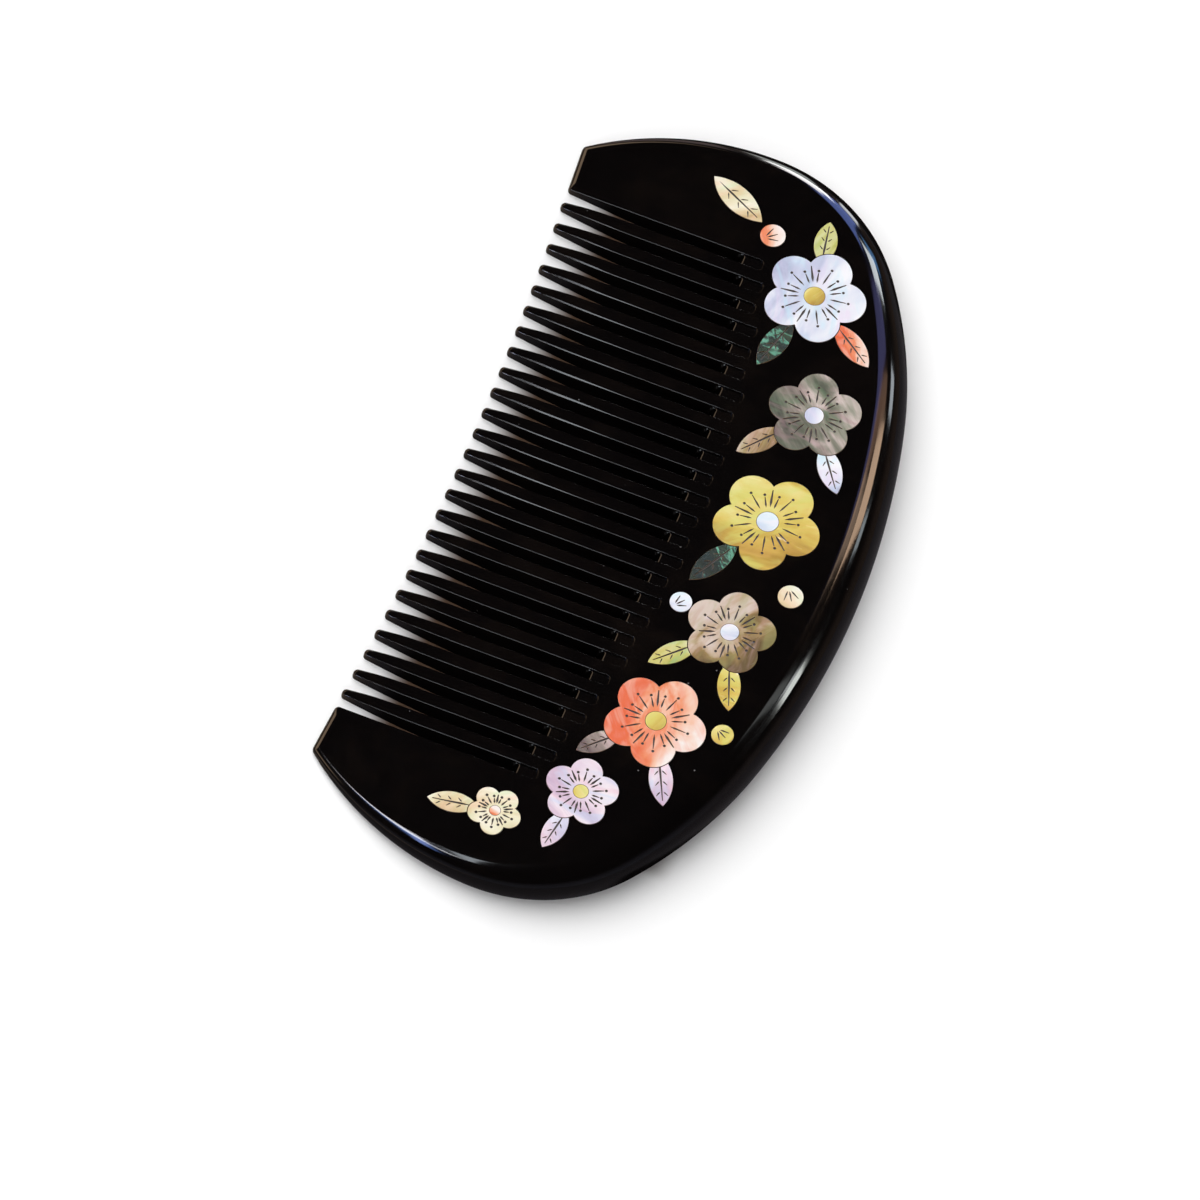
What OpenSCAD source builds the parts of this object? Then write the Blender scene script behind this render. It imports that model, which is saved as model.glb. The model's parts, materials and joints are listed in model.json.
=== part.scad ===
// A half-moon comb of black-lacquered sandalwood, inlaid with mother-of-pearl plum blossom.
// Millimetres. The comb lies on its back: X runs along the row of teeth, Y from the tips
// to the spine, Z up through the inlaid face. The origin is on the back, under the middle
// of the comb's length and width.

/* [Comb] */
// Length over the widest part of the round ends
comb_len = 110.4; // [108:0.2:114]
// Width from the guard tips to the top of the spine
comb_wid = 54.5; // [53:0.1:57]
// Thickness at the line of the guard tips
edge_t = 1.0; // [0.8:0.1:1.4]
// Thickness where the rounding of the spine begins
spine_t = 9.4; // [8:0.1:10]
// Radius of the long top arc of the spine
spine_r = 105.5; // [100:0.5:112]
// Half angle that the long top arc covers
spine_turn = 14.3; // [12:0.1:16]
// Angle from the middle at which the shoulder runs into the round end
shoulder_turn = 34.9; // [32:0.1:38]
// Distance of the widest part from the guard tips
wide_y = 23.7; // [22:0.1:26]
// Radius of the sides between the widest part and the guard tips
side_r = 36.7; // [34:0.1:45]

// How much further back a guard ends on its inner side than on its outer side
guard_slant = 0.45; // [0:0.05:0.8]
// Corner radius of the guard tips
guard_corner = 0.5; // [0.2:0.1:0.8]

/* [Teeth] */
// Number of fine teeth between the two guards
teeth = 25; // [21:2:25]
// Distance from tooth to tooth
tooth_pitch = 3.13; // [3:0.01:3.15]
// Width of a tooth on its straight stretch
tooth_w = 1.67; // [1.4:0.01:1.9]
// Width of a tooth just before its round tip
tip_w = 1.1; // [0.8:0.05:1.3]
// Length over which a tooth narrows to its tip
taper_len = 10; // [6:0.5:14]
// Height of the middle tip above the line of the guard tips
tip_y = 2.06; // [1.8:0.02:3]
// Radius of the arc that the tips lie on
tip_arc_r = 437; // [400:1:900]
// Distance of the middle slot's end from the guard tips
root_y = 29.5; // [27:0.1:30]
// Radius of the arc that the slot ends lie on
root_arc_r = 140.7; // [130:0.1:180]
// Corner radius at the end of a slot
root_corner = 0.3; // [0.1:0.05:0.5]
// Mean length of the shallow saw mark beyond a slot
saw_mark_len = 2.6; // [2:0.1:3]
// Depth of the saw mark
saw_mark_deep = 0.35; // [0.2:0.05:0.5]

/* [Inlay] */
// Thickness of the shell pieces
shell_t = 0.6; // [0.4:0.05:0.8]
// Height that the shell stands above the lacquer
shell_proud = 0.06; // [0:0.01:0.1]
// Gap between a shell piece and its pocket
shell_gap = 0.1; // [0.06:0.01:0.15]
// Widest place of an engraved stroke
stroke_w = 0.3; // [0.2:0.02:0.4]
// Depth of the engraving
stroke_deep = 0.12; // [0.08:0.02:0.2]

/* [Hidden] */
$fn = 64;
eps = 0.01;

// Columns of the tables below: name, X, distance up the face, turn, colour, size, width
NAME = 0;
X = 1;
UP = 2;
TURN = 3;
TINT = 4;
SIZE = 5;
WIDE = 6;

// Blossoms; SIZE is the radius to the petal ends
BLOSSOMS = [
    ["white", -37.6, 34.4,   8, "aliceblue",      6.6],
    ["grey",  -21.6, 40.4,  30, "darkslategray",  6.0],
    ["gold",   -5.2, 40.4,  -6, "goldenrod",      6.9],
    ["olive",  11.2, 41.6,  20, "tan",            5.8],
    ["coral",  26.4, 37.6,  -2, "lightsalmon",    6.5],
    ["lilac",  39.2, 32.6,  24, "thistle",        4.7],
    ["cream",  45.8, 23.8,  -8, "cornsilk",       3.4]
];

// Leaves; SIZE is the length, and a leaf that meets a blossom is tucked behind it
LEAVES = [
    ["lemon",   -46.9, 20.6,   64, "palegoldenrod",  8.8, 3.4],
    ["spring",  -45.3, 33.0,  190, "yellowgreen",    6.2, 2.9],
    ["salmon",  -32.8, 41.2,   55, "salmon",         7.4, 3.0],
    ["abalone", -29.4, 32.2,  -15, "darkgreen",      7.8, 3.1],
    ["sky",     -15.2, 44.9,   35, "lightcyan",      7.2, 3.0],
    ["moss",    -15.7, 35.5,  -40, "darkolivegreen", 7.0, 3.0],
    ["jade",      2.7, 36.2,  -28, "seagreen",       8.0, 3.1],
    ["honey",    18.3, 44.2,   20, "khaki",          7.0, 2.9],
    ["lime",     16.6, 36.2,  -45, "yellowgreen",    7.0, 2.8],
    ["blush",    33.8, 41.1,   25, "pink",           7.4, 3.0],
    ["smoke",    31.9, 32.1,  -45, "slategray",      6.0, 2.7],
    ["rose",     45.3, 31.5,  -10, "lightpink",      6.0, 2.7],
    ["pale",     46.7, 18.6,  -80, "beige",          6.5, 2.8]
];

// Buds; SIZE is the radius
BUDS = [
    ["apricot", -43.7, 26.5,   40, "salmon",         1.6],
    ["cream",     3.6, 46.8,  -60, "cornsilk",       1.6],
    ["blue",      9.6, 34.5,   50, "lightcyan",      1.4],
    ["yellow",   25.0, 45.9,  -30, "khaki",          1.4]
];

function names(kind, rows) = [for (row = rows) str(kind, row[NAME])];

// All shapes below are drawn with Y = 0 at the guard tips; this brings them to the origin
module from_tips() {
    translate([0, -comb_wid / 2, 0])
        children();
}

// The wedge: back on Z = 0, face rising evenly from the tips to the spine
face_rise = (spine_t - edge_t) / (comb_wid - spine_t / 2);
face_tilt = atan(face_rise);
face_stretch = sqrt(1 + face_rise * face_rise);

// The outline is a chain of tangent arcs; two radii follow from the length and the width
half_len = comb_len / 2;
turn_gap = [sin(shoulder_turn) - sin(spine_turn), 1 - sin(shoulder_turn)];
drop_gap = [cos(spine_turn) - cos(shoulder_turn), cos(shoulder_turn)];
reach = half_len - spine_r * sin(spine_turn);
drop = comb_wid - wide_y - spine_r * (1 - cos(spine_turn));
det = turn_gap[0] * drop_gap[1] - turn_gap[1] * drop_gap[0];
shoulder_r = (reach * drop_gap[1] - turn_gap[1] * drop) / det;
end_r = (turn_gap[0] * drop - drop_gap[0] * reach) / det;

spine_mid = [0, comb_wid - spine_r];
shoulder_mid = spine_mid + (spine_r - shoulder_r) * [sin(spine_turn), cos(spine_turn)];
end_mid = [half_len - end_r, wide_y];
side_mid = [half_len - side_r, wide_y];

// The rim is drawn this far past the guard tips and then cut off square
overrun = 2;
side_turn = 90 + asin((wide_y + overrun) / side_r);
rim_steps = 12;

// Points of an arc with their outward normals, angles measured from +Y towards +X
function arc_run(mid, r, from, to, steps) = [
    for (i = [0 : steps - 1])
        let (a = from + (to - from) * i / steps)
        [mid[0] + r * sin(a), mid[1] + r * cos(a), sin(a), cos(a)]
];

right_half = concat(
    arc_run(side_mid, side_r, side_turn, 90, 8),
    arc_run(end_mid, end_r, 90, shoulder_turn, 14),
    arc_run(shoulder_mid, shoulder_r, shoulder_turn, spine_turn, 6),
    arc_run(spine_mid, spine_r, spine_turn, 0, 5)
);
outline = concat(
    right_half,
    [[0, comb_wid, 0, 1]],
    [for (i = [len(right_half) - 1 : -1 : 0])
        let (p = right_half[i]) [-p[0], p[1], -p[2], p[3]]]
);

// Radius of the rim at an outline point: a ball there touches the back and the face
function rim_r(p) = (edge_t + face_rise * p[1]) / (1 + face_stretch + face_rise * p[3]);

// Direction from the middle of the rim, from straight down over outward to square on the face
function rim_dir(p, a) =
    let (up = a > 0 ? [0, -face_rise, 1] / face_stretch : [0, 0, 1])
    let (d = [p[2], p[3], 0] * cos(a) + up * sin(a))
    d / norm(d);

function rim_point(p, a) =
    let (r = rim_r(p))
    [p[0] - p[2] * r, p[1] - p[3] * r, r] + r * rim_dir(p, a);

// Wedge-shaped blank with a full round rim, as one closed skin
module blank() {
    m = rim_steps + 1;
    n = len(outline);
    points = [
        for (p = outline)
            for (j = [0 : rim_steps])
                rim_point(p, -90 + 180 * j / rim_steps)
    ];
    rim = [
        for (i = [0 : n - 2])
            for (j = [0 : rim_steps - 1])
                for (t = [0 : 1])
                    t == 0
                        ? [i * m + j, i * m + j + 1, (i + 1) * m + j + 1]
                        : [i * m + j, (i + 1) * m + j + 1, (i + 1) * m + j]
    ];
    back = [[for (i = [0 : n - 1]) i * m]];
    face = [[for (i = [n - 1 : -1 : 0]) i * m + rim_steps]];
    front = [
        for (j = [0 : rim_steps - 1])
            [j, (n - 1) * m + j, (n - 1) * m + j + 1, j + 1]
    ];
    polyhedron(points, concat(rim, back, face, front), convexity = 4);
}

// Teeth and slots
slot_w = tooth_pitch - tooth_w;
tip_r = tip_w / 2;
function tooth_x(k) = (k - (teeth + 1) / 2) * tooth_pitch;
function slot_x(k) = (k - teeth / 2) * tooth_pitch;
function tooth_tip(k) = tip_y - tip_arc_r + sqrt(pow(tip_arc_r, 2) - pow(tooth_x(k), 2));
function slot_end(k) = root_y - root_arc_r + sqrt(pow(root_arc_r, 2) - pow(slot_x(k), 2));

// Half width of a tooth at a distance from its tip: a round end, then an easing taper
function half_w(s) = s < tip_r
    ? sqrt(s * (2 * tip_r - s))
    : tooth_w / 2 - (tooth_w / 2 - tip_r) * pow((taper_len - s) / (taper_len - tip_r), 2);
round_steps = [for (a = [15 : 25 : 90]) tip_r * (1 - cos(a))];
taper_steps = [for (i = [1 : 5]) tip_r + (taper_len - tip_r) * i / 5];
tooth_steps = concat(round_steps, taper_steps);
last_step = len(tooth_steps) - 1;

function tooth_edge(k) = concat(
    [for (i = [last_step : -1 : 0])
        [tooth_x(k) - half_w(tooth_steps[i]), tooth_tip(k) + tooth_steps[i]]],
    [for (s = tooth_steps) [tooth_x(k) + half_w(s), tooth_tip(k) + s]]
);

function slot_edge(k) = [
    [slot_x(k) - slot_w / 2, slot_end(k) - root_corner],
    [slot_x(k) - slot_w / 2 + root_corner, slot_end(k)],
    [slot_x(k) + slot_w / 2 - root_corner, slot_end(k)],
    [slot_x(k) + slot_w / 2, slot_end(k) - root_corner]
];

// What is cut away beyond the guard tips, which slant back towards the teeth
guard_x = teeth / 2 * tooth_pitch + slot_w / 2;
tip_reach = side_mid[0] + sqrt(pow(side_r, 2) - pow(wide_y, 2));
module beyond_tips() {
    translate([0, 0, -1])
        linear_extrude(spine_t + 4)
            polygon([
                [-comb_len, -comb_wid],
                [comb_len, -comb_wid],
                [comb_len, 0],
                [tip_reach - guard_corner, 0],
                [guard_x, guard_slant],
                [-guard_x, guard_slant],
                [guard_corner - tip_reach, 0],
                [-comb_len, 0]
            ]);
}

// Everything that the saw takes out between the guards, as one outline
module slots() {
    front = -2 * overrun;
    edge = concat(
        [
            [-guard_x - guard_corner, front],
            [-guard_x - guard_corner, guard_slant - eps],
            [-guard_x, guard_slant + guard_corner]
        ],
        slot_edge(0),
        [for (k = [1 : teeth]) each concat(tooth_edge(k), slot_edge(k))],
        [
            [guard_x, guard_slant + guard_corner],
            [guard_x + guard_corner, guard_slant - eps],
            [guard_x + guard_corner, front]
        ]
    );
    translate([0, 0, -1])
        linear_extrude(spine_t + 4)
            polygon(edge);
}

// Frame of the sloping face: X as before, Y up the face, Z out of it
module on_face() {
    translate([0, 0, edge_t])
        rotate([face_tilt, 0, 0])
            children();
}

// Shallow mark that the saw leaves beyond each slot, a little different every time
module saw_marks() {
    on_face()
        for (k = [0 : teeth])
            translate([slot_x(k), (slot_end(k) - 1) * face_stretch, -saw_mark_deep])
                linear_extrude(2)
                    saw_mark(saw_mark_len + 1 + 0.35 * sin(137 * k));
}

module saw_mark(l) {
    h = slot_w / 2 - eps;
    polygon([
        [-h, 0],
        [h, 0],
        [h, l - root_corner],
        [h - root_corner, l],
        [root_corner - h, l],
        [-h, l - root_corner]
    ]);
}

// Outlines of the shell pieces, each grown by g to draw its pocket
petals = 5;
petal_r = 0.43;
petal_out = 0.57;
heart_r = 0.2;
module blossom_outline(row, g) {
    r = row[SIZE];
    circle(r * petal_out + g);
    for (i = [1 : petals])
        rotate(360 / petals * i)
            translate([0, r * petal_out])
                circle(r * petal_r + g);
}

// A leaf is where two round discs cross
module leaf_outline(row, g) {
    r = (pow(row[SIZE], 2) + pow(row[WIDE], 2)) / (4 * row[WIDE]);
    apart = r - row[WIDE] / 2;
    intersection() {
        translate([0, apart])
            circle(r + g, $fn = 96);
        translate([0, -apart])
            circle(r + g, $fn = 96);
    }
}

// Puts a piece where its row says, on the face or flat
module set_at(row) {
    translate([row[X], row[UP]])
        rotate(row[TURN])
            children();
}

// What is left of a leaf in front of which a blossom lies
module tucked_leaf(row) {
    difference() {
        set_at(row)
            leaf_outline(row, 0);
        for (b = BLOSSOMS)
            if (norm([b[X] - row[X], b[UP] - row[UP]]) < b[SIZE] + row[SIZE] / 2)
                set_at(b)
                    blossom_outline(b, shell_gap);
    }
}

module pocket(row) {
    set_at(row)
        translate([0, 0, shell_proud - shell_t])
            linear_extrude(shell_t + 1)
                children();
}

module pockets() {
    on_face() {
        for (b = BLOSSOMS)
            pocket(b)
                blossom_outline(b, shell_gap);
        for (l = LEAVES)
            pocket(l)
                leaf_outline(l, shell_gap);
        for (b = BUDS)
            pocket(b)
                circle(b[SIZE] + shell_gap);
    }
}

// The comb itself, sawn and ground from one piece of wood
module comb() {
    color([0.06, 0.05, 0.05])
        from_tips() difference() {
            blank();
            beyond_tips();
            slots();
            saw_marks();
            pockets();
        }
}

// A slice of shell on the face, standing just proud of the lacquer
module slice() {
    on_face()
        translate([0, 0, shell_proud - shell_t])
            linear_extrude(shell_t)
                children();
}

// Cuts its flat children into the upper side of a piece
module engrave(row) {
    on_face()
        set_at(row)
            translate([0, 0, shell_proud - stroke_deep])
                linear_extrude(1)
                    children();
}

// One stroke along Y, widest near its foot and fine at its end
module stroke(l, w) {
    polygon([
        [0, 0],
        [w / 2, 0.3 * l],
        [w / 5, l],
        [-w / 5, l],
        [-w / 2, 0.3 * l]
    ]);
}

// A line between two petals, and on each petal three stamens with a dot at the end
module stamens(r) {
    step = 360 / petals;
    for (i = [1 : petals]) {
        rotate(step * (i + 0.5))
            translate([0, r * 0.3])
                stroke(r * 0.36, stroke_w);
        for (a = [-22, 0, 22])
            rotate(step * i + a) {
                reach = r * (a == 0 ? 0.32 : 0.22);
                translate([0, r * 0.29])
                    stroke(reach, stroke_w * 0.8);
                translate([0, r * 0.3 + reach + stroke_w * 0.8])
                    circle(stroke_w * 0.6, $fn = 24);
            }
    }
}

module blossom(row) {
    r = row[SIZE];
    color(row[TINT])
        from_tips() difference() {
            slice()
                difference() {
                    set_at(row)
                        blossom_outline(row, 0);
                    set_at(row)
                        circle(r * heart_r + shell_gap / 2);
                }
            engrave(row)
                stamens(r);
        }
}

// The round middle of a blossom
module heart(row) {
    color("gold")
        from_tips() slice()
            set_at(row)
                circle(row[SIZE] * heart_r);
}

// A midrib with side veins, along the leaf
module veins(l) {
    rotate(-90)
        translate([0, -0.4 * l])
            stroke(0.8 * l, stroke_w * 0.9);
    for (x = [-0.2, 0, 0.2])
        for (a = [-48, -132])
            translate([x * l, 0])
                rotate(a)
                    translate([0, stroke_w])
                        stroke(0.11 * l, stroke_w * 0.6);
}

module leaf(row) {
    color(row[TINT])
        from_tips() difference() {
            slice()
                tucked_leaf(row);
            engrave(row)
                veins(row[SIZE]);
        }
}

// Folds that open like a fan from the foot of a bud
module folds(r) {
    for (a = [-30, 0, 30])
        translate([0, -0.75 * r])
            rotate(a)
                translate([0, 0.25 * r])
                    stroke(0.9 * r, stroke_w * 0.7);
}

module bud(row) {
    color(row[TINT])
        from_tips() difference() {
            slice()
                set_at(row)
                    circle(row[SIZE]);
            engrave(row)
                folds(row[SIZE]);
        }
}

comb();
for (b = BLOSSOMS) blossom(b);
for (b = BLOSSOMS) heart(b);
for (l = LEAVES) leaf(l);
for (b = BUDS) bud(b);
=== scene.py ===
"""A half-moon comb of black-lacquered sandalwood with plum blossom in mother-of-pearl.

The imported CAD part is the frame. The comb lies on its back on a pale table. Measures are in millimetres,
with Y counted from the line of the guard tips; only finished meshes are in the frame's metres.
"""

import json
import logging
import math
from dataclasses import dataclass, field, replace
from enum import Enum
from typing import Any, Iterator, Optional, Sequence, Union

import bpy
import numpy as np
from mathutils import Matrix, Vector
from mathutils.geometry import delaunay_2d_cdt


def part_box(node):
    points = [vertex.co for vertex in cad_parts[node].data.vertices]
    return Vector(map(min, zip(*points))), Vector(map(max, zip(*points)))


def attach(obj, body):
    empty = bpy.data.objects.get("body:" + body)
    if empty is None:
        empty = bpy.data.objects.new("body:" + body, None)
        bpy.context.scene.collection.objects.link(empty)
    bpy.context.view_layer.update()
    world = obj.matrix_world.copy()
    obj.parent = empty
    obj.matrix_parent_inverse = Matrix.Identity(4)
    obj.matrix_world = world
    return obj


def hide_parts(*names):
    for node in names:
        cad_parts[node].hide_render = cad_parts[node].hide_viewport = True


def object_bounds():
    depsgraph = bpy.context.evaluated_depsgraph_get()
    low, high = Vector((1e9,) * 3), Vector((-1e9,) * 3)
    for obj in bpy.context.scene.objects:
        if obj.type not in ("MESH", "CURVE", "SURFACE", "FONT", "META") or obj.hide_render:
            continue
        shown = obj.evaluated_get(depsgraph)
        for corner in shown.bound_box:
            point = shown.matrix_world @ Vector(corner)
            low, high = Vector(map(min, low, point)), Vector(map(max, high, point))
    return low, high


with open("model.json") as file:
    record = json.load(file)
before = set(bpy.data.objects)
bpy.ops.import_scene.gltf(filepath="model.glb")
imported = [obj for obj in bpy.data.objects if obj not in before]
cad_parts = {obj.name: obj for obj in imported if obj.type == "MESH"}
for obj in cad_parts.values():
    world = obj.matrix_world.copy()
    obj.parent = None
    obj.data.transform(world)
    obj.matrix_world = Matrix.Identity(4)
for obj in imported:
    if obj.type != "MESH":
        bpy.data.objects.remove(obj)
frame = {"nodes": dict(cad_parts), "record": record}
CAD_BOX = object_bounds()

LOG = logging.getLogger("comb")
MM = 0.001
ROOT = "root"

SCATTER = 137  # sends the sine of a tooth's number well away from its neighbour's

Colour = tuple[float, float, float]
Triple = tuple[float, float, float]
Plan = tuple[float, float]
Span = tuple[float, float]


def unit(v: np.ndarray) -> np.ndarray:
    """Returns v at length one."""
    return v / np.linalg.norm(v)


def smooth(t: float) -> float:
    """Returns an easing from 0 to 1 as t goes from 0 to 1."""
    t = min(1.0, max(0.0, t))
    return t * t * (3 - 2 * t)


def lerp(a: Any, b: Any, t: float) -> Any:
    """Returns the value a share t of the way from a to b."""
    return a + (b - a) * t


def add_object(name: str, data: bpy.types.ID) -> bpy.types.Object:
    """Returns a new object in the scene, with a mesh, light or camera."""
    made = bpy.data.objects.new(name, data)
    bpy.context.scene.collection.objects.link(made)
    return made


# Shader maths


class Wire:
    """An output of a node, which takes part in sums, differences and products."""

    def __init__(self, bench: "Bench", socket: bpy.types.NodeSocket) -> None:
        """Keeps the socket and the bench that its nodes stand on."""
        self.bench = bench
        self.socket = socket

    def _math(self, operation: str, first: Any, second: Any) -> "Wire":
        """Returns the wire of one Math node."""
        return self.bench.wire("ShaderNodeMath", {"operation": operation}, {0: first, 1: second})

    def __add__(self, other: "Value") -> "Wire":
        """Returns self + other."""
        return self._math("ADD", self, other)

    def __radd__(self, other: "Value") -> "Wire":
        """Returns other + self."""
        return self._math("ADD", other, self)

    def __sub__(self, other: "Value") -> "Wire":
        """Returns self - other."""
        return self._math("SUBTRACT", self, other)

    def __rsub__(self, other: "Value") -> "Wire":
        """Returns other - self."""
        return self._math("SUBTRACT", other, self)

    def __mul__(self, other: "Value") -> "Wire":
        """Returns self * other."""
        return self._math("MULTIPLY", self, other)

    def __rmul__(self, other: "Value") -> "Wire":
        """Returns other * self."""
        return self._math("MULTIPLY", other, self)

    def part(self, axis: str) -> "Wire":
        """Returns one part of a vector."""
        return self.bench.wire("ShaderNodeSeparateXYZ", {}, {0: self}, axis)

    def ramp(self, span: Span) -> "Wire":
        """Returns an easing from 0 at the start of a span to 1 at its end."""
        inputs = {"Value": self, "From Min": span[0], "From Max": span[1]}
        return self.bench.wire("ShaderNodeMapRange", {"interpolation_type": "SMOOTHSTEP"}, inputs)


Value = Union[Wire, float]


@dataclass(frozen=True)
class Noise:
    """Soft noise from 0 to 1, with scale features a millimetre; span is the part that makes a mask."""

    scale: float
    detail: float = 2.0
    rough: float = 0.5
    warp: float = 0.0
    span: Span = (0.0, 1.0)


class Bench:
    """A new material with its Principled shader, and the means to add nodes to it."""

    def __init__(self, name: str) -> None:
        """Makes the material, empty but for its shader and output.

        Args:
            name: the material's name.
        """
        self.material = bpy.data.materials.new(name)
        self.material.use_nodes = True
        self.tree = self.material.node_tree
        self.tree.nodes.clear()
        self.shader = self.tree.nodes.new("ShaderNodeBsdfPrincipled")
        output = self.tree.nodes.new("ShaderNodeOutputMaterial")
        self.tree.links.new(self.shader.outputs["BSDF"], output.inputs["Surface"])

    def node(self, kind: str, settings: dict[str, Any], inputs: dict[Any, Any]) -> bpy.types.Node:
        """Adds a node of any kind.

        Args:
            kind: the node's Blender type.
            settings: its own settings, which are set first; "stops" are a colour ramp's.
            inputs: values or wires by the name or number of a socket.

        Returns:
            The node.
        """
        made = self.tree.nodes.new(kind)
        for key, value in settings.items():
            if key == "stops":
                self._set_stops(made.color_ramp, value)
            else:
                setattr(made, key, value)
        for key, value in inputs.items():
            self._feed(made.inputs[key], value)
        return made

    def wire(self, kind: str, settings: dict[str, Any], inputs: dict[Any, Any], out: Any = 0) -> Wire:
        """Adds a node and returns the wire of its output named or numbered out."""
        return Wire(self, self.node(kind, settings, inputs).outputs[out])

    def _feed(self, socket: bpy.types.NodeSocket, value: Any) -> None:
        """Links a wire to a socket, or sets the socket to a value.

        Args:
            socket: the input socket.
            value: the wire or the value; a colour comes without its alpha.
        """
        if isinstance(value, Wire):
            self.tree.links.new(value.socket, socket)
        elif socket.type == "RGBA":
            socket.default_value = (*value, 1.0)
        else:
            socket.default_value = value

    @staticmethod
    def _set_stops(ramp: bpy.types.ColorRamp, stops: Sequence[tuple[float, Colour]]) -> None:
        """Gives a colour ramp its stops.

        Args:
            ramp: the colour ramp.
            stops: pairs of a position and a colour.
        """
        while len(ramp.elements) < len(stops):
            ramp.elements.new(0.5)
        for element, (position, colour) in zip(ramp.elements, stops):
            element.position = position
            element.color = (*colour, 1.0)

    def set(self, **sockets: Any) -> None:
        """Sets sockets of the shader by name, with _ for each space."""
        for name, value in sockets.items():
            self._feed(self.shader.inputs[name.replace("_", " ")], value)

    def place(self) -> Wire:
        """Returns where a point is on the object, in millimetres."""
        coordinates = self.wire("ShaderNodeTexCoord", {}, {}, "Object")
        return self.wire("ShaderNodeVectorMath", {"operation": "SCALE"}, {0: coordinates, "Scale": 1 / MM})

    def turned(self, place: Wire, turn: float, stretch: Triple, shift: Triple = (0, 0, 0)) -> Wire:
        """Returns a place for a pattern turned about Z by degrees, stretched along each axis and shifted."""
        inputs = {"Location": shift, "Rotation": (0, 0, math.radians(turn)), "Scale": stretch}
        return self.wire("ShaderNodeMapping", {"vector_type": "TEXTURE"}, {"Vector": place, **inputs})

    def noise(self, place: Wire, kind: Noise) -> Wire:
        """Returns noise over a place."""
        grain = {"Scale": kind.scale, "Detail": kind.detail, "Roughness": kind.rough}
        inputs = {"Vector": place, **grain, "Distortion": kind.warp}
        return self.wire("ShaderNodeTexNoise", {}, inputs, "Fac")

    def mask(self, place: Wire, kind: Noise) -> Wire:
        """Returns 0 where the noise is under its span and 1 where it is over it."""
        return self.noise(place, kind).ramp(kind.span)

    def blend(self, share: Value, a: Any, b: Any) -> Wire:
        """Returns the colour a share of the way from a to b."""
        settings = {"data_type": "RGBA", "blend_type": "MIX"}
        return self.wire("ShaderNodeMix", settings, {0: share, 6: a, 7: b}, 2)

    def facing(self, wedge: "Wedge") -> Wire:
        """Returns how nearly the surface faces the way the comb's face does, 1 where it does."""
        inputs = {0: self.wire("ShaderNodeNewGeometry", {}, {}, "Normal"), 1: tuple(wedge.normal)}
        return self.wire("ShaderNodeVectorMath", {"operation": "DOT_PRODUCT"}, inputs, "Value")

    def bump(self, height: Wire, depth: float, **more: Any) -> Wire:
        """Returns the normal that a height pattern gives, depth millimetres high; more are other inputs."""
        inputs = {"Height": height, "Strength": 1.0, "Distance": depth * MM}
        return self.wire("ShaderNodeBump", {}, {**inputs, **more})


class RoomBench(Bench):
    """The same bench for the nodes of a world."""

    def __init__(self, world: bpy.types.World) -> None:
        """Takes the world's own tree and background."""
        world.use_nodes = True
        self.tree = world.node_tree
        self.shader = self.tree.nodes["Background"]


# The comb's shape


@dataclass(frozen=True)
class Wedge:
    """The blank before sawing: back on Z = 0, face rising evenly from the tips to the spine."""

    length: float
    width: float
    edge_thick: float = 1.0
    spine_thick: float = 9.4

    @property
    def rise(self) -> float:
        """How much the face rises for each millimetre from the tips."""
        return (self.spine_thick - self.edge_thick) / (self.width - self.spine_thick / 2)

    @property
    def stretch(self) -> float:
        """How much longer a line up the face is than its plan."""
        return math.hypot(1, self.rise)

    @property
    def normal(self) -> np.ndarray:
        """The direction straight out of the face."""
        return np.array([0, -self.rise, 1]) / self.stretch

    def height(self, y: float) -> float:
        """Returns the height of the face at a distance from the tips."""
        return self.edge_thick + self.rise * y

    def full_round(self, at: Plan, out: Plan, crown: float = 0.0, turn: float = 0.0) -> float:
        """Returns the radius of a rim that touches the back and the face at a point of the outline.

        Args:
            at: the point of the outline.
            out: the direction out of it.
            crown: the larger radius next to the face, or 0.
            turn: the angle in degrees through which the crown turns.

        Returns:
            The radius of the rest of the rim.
        """
        share = 1 + self.stretch + self.rise * out[1]
        radius = self.height(at[1]) / share
        if crown <= radius:
            return radius
        loss = self.stretch * (1 - math.cos(math.radians(turn)))
        return (self.height(at[1]) - crown * loss) / (share - loss)

    def to_frame(self, points: np.ndarray) -> np.ndarray:
        """Returns points in the frame of the CAD part, in metres."""
        return (points - np.array([0, self.width / 2, 0])) * MM


@dataclass(frozen=True)
class Station:
    """One place on the comb's edge, with the way the edge is rounded there.

    sawn is 0 on the full round rim and 1 on a sawn edge, whose arrises have the given radius. crown is the
    larger radius with which the rounding begins next to the face. Where a saw mark runs on beyond a slot,
    mark is the mark's edge and lip the radius of that edge.
    """

    at: Plan
    out: Plan
    sawn: float = 1.0
    radius: float = 0.0
    mark: Optional[Plan] = None
    lip: float = 0.0
    crown: float = 0.0
    lip_crown: float = 0.0

    def across(self, x: float = 0.0) -> "Station":
        """Returns the same place on the other side of the line at x."""
        mark = None if self.mark is None else (2 * x - self.mark[0], self.mark[1])
        return replace(self, at=(2 * x - self.at[0], self.at[1]), out=(-self.out[0], self.out[1]), mark=mark)


def swing(mid: Plan, radius: float, start: float, end: float, steps: int) -> Iterator[tuple[Plan, Plan]]:
    """Walks along an arc.

    Args:
        mid: the arc's centre.
        radius: its radius.
        start: the first angle in degrees, from +X towards +Y.
        end: the last angle, which is left out.
        steps: how many points there are.

    Yields:
        Each point with the direction to it from the centre.
    """
    for i in range(steps):
        a = math.radians(lerp(start, end, i / steps))
        out = (math.cos(a), math.sin(a))
        yield (mid[0] + radius * out[0], mid[1] + radius * out[1]), out


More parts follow.
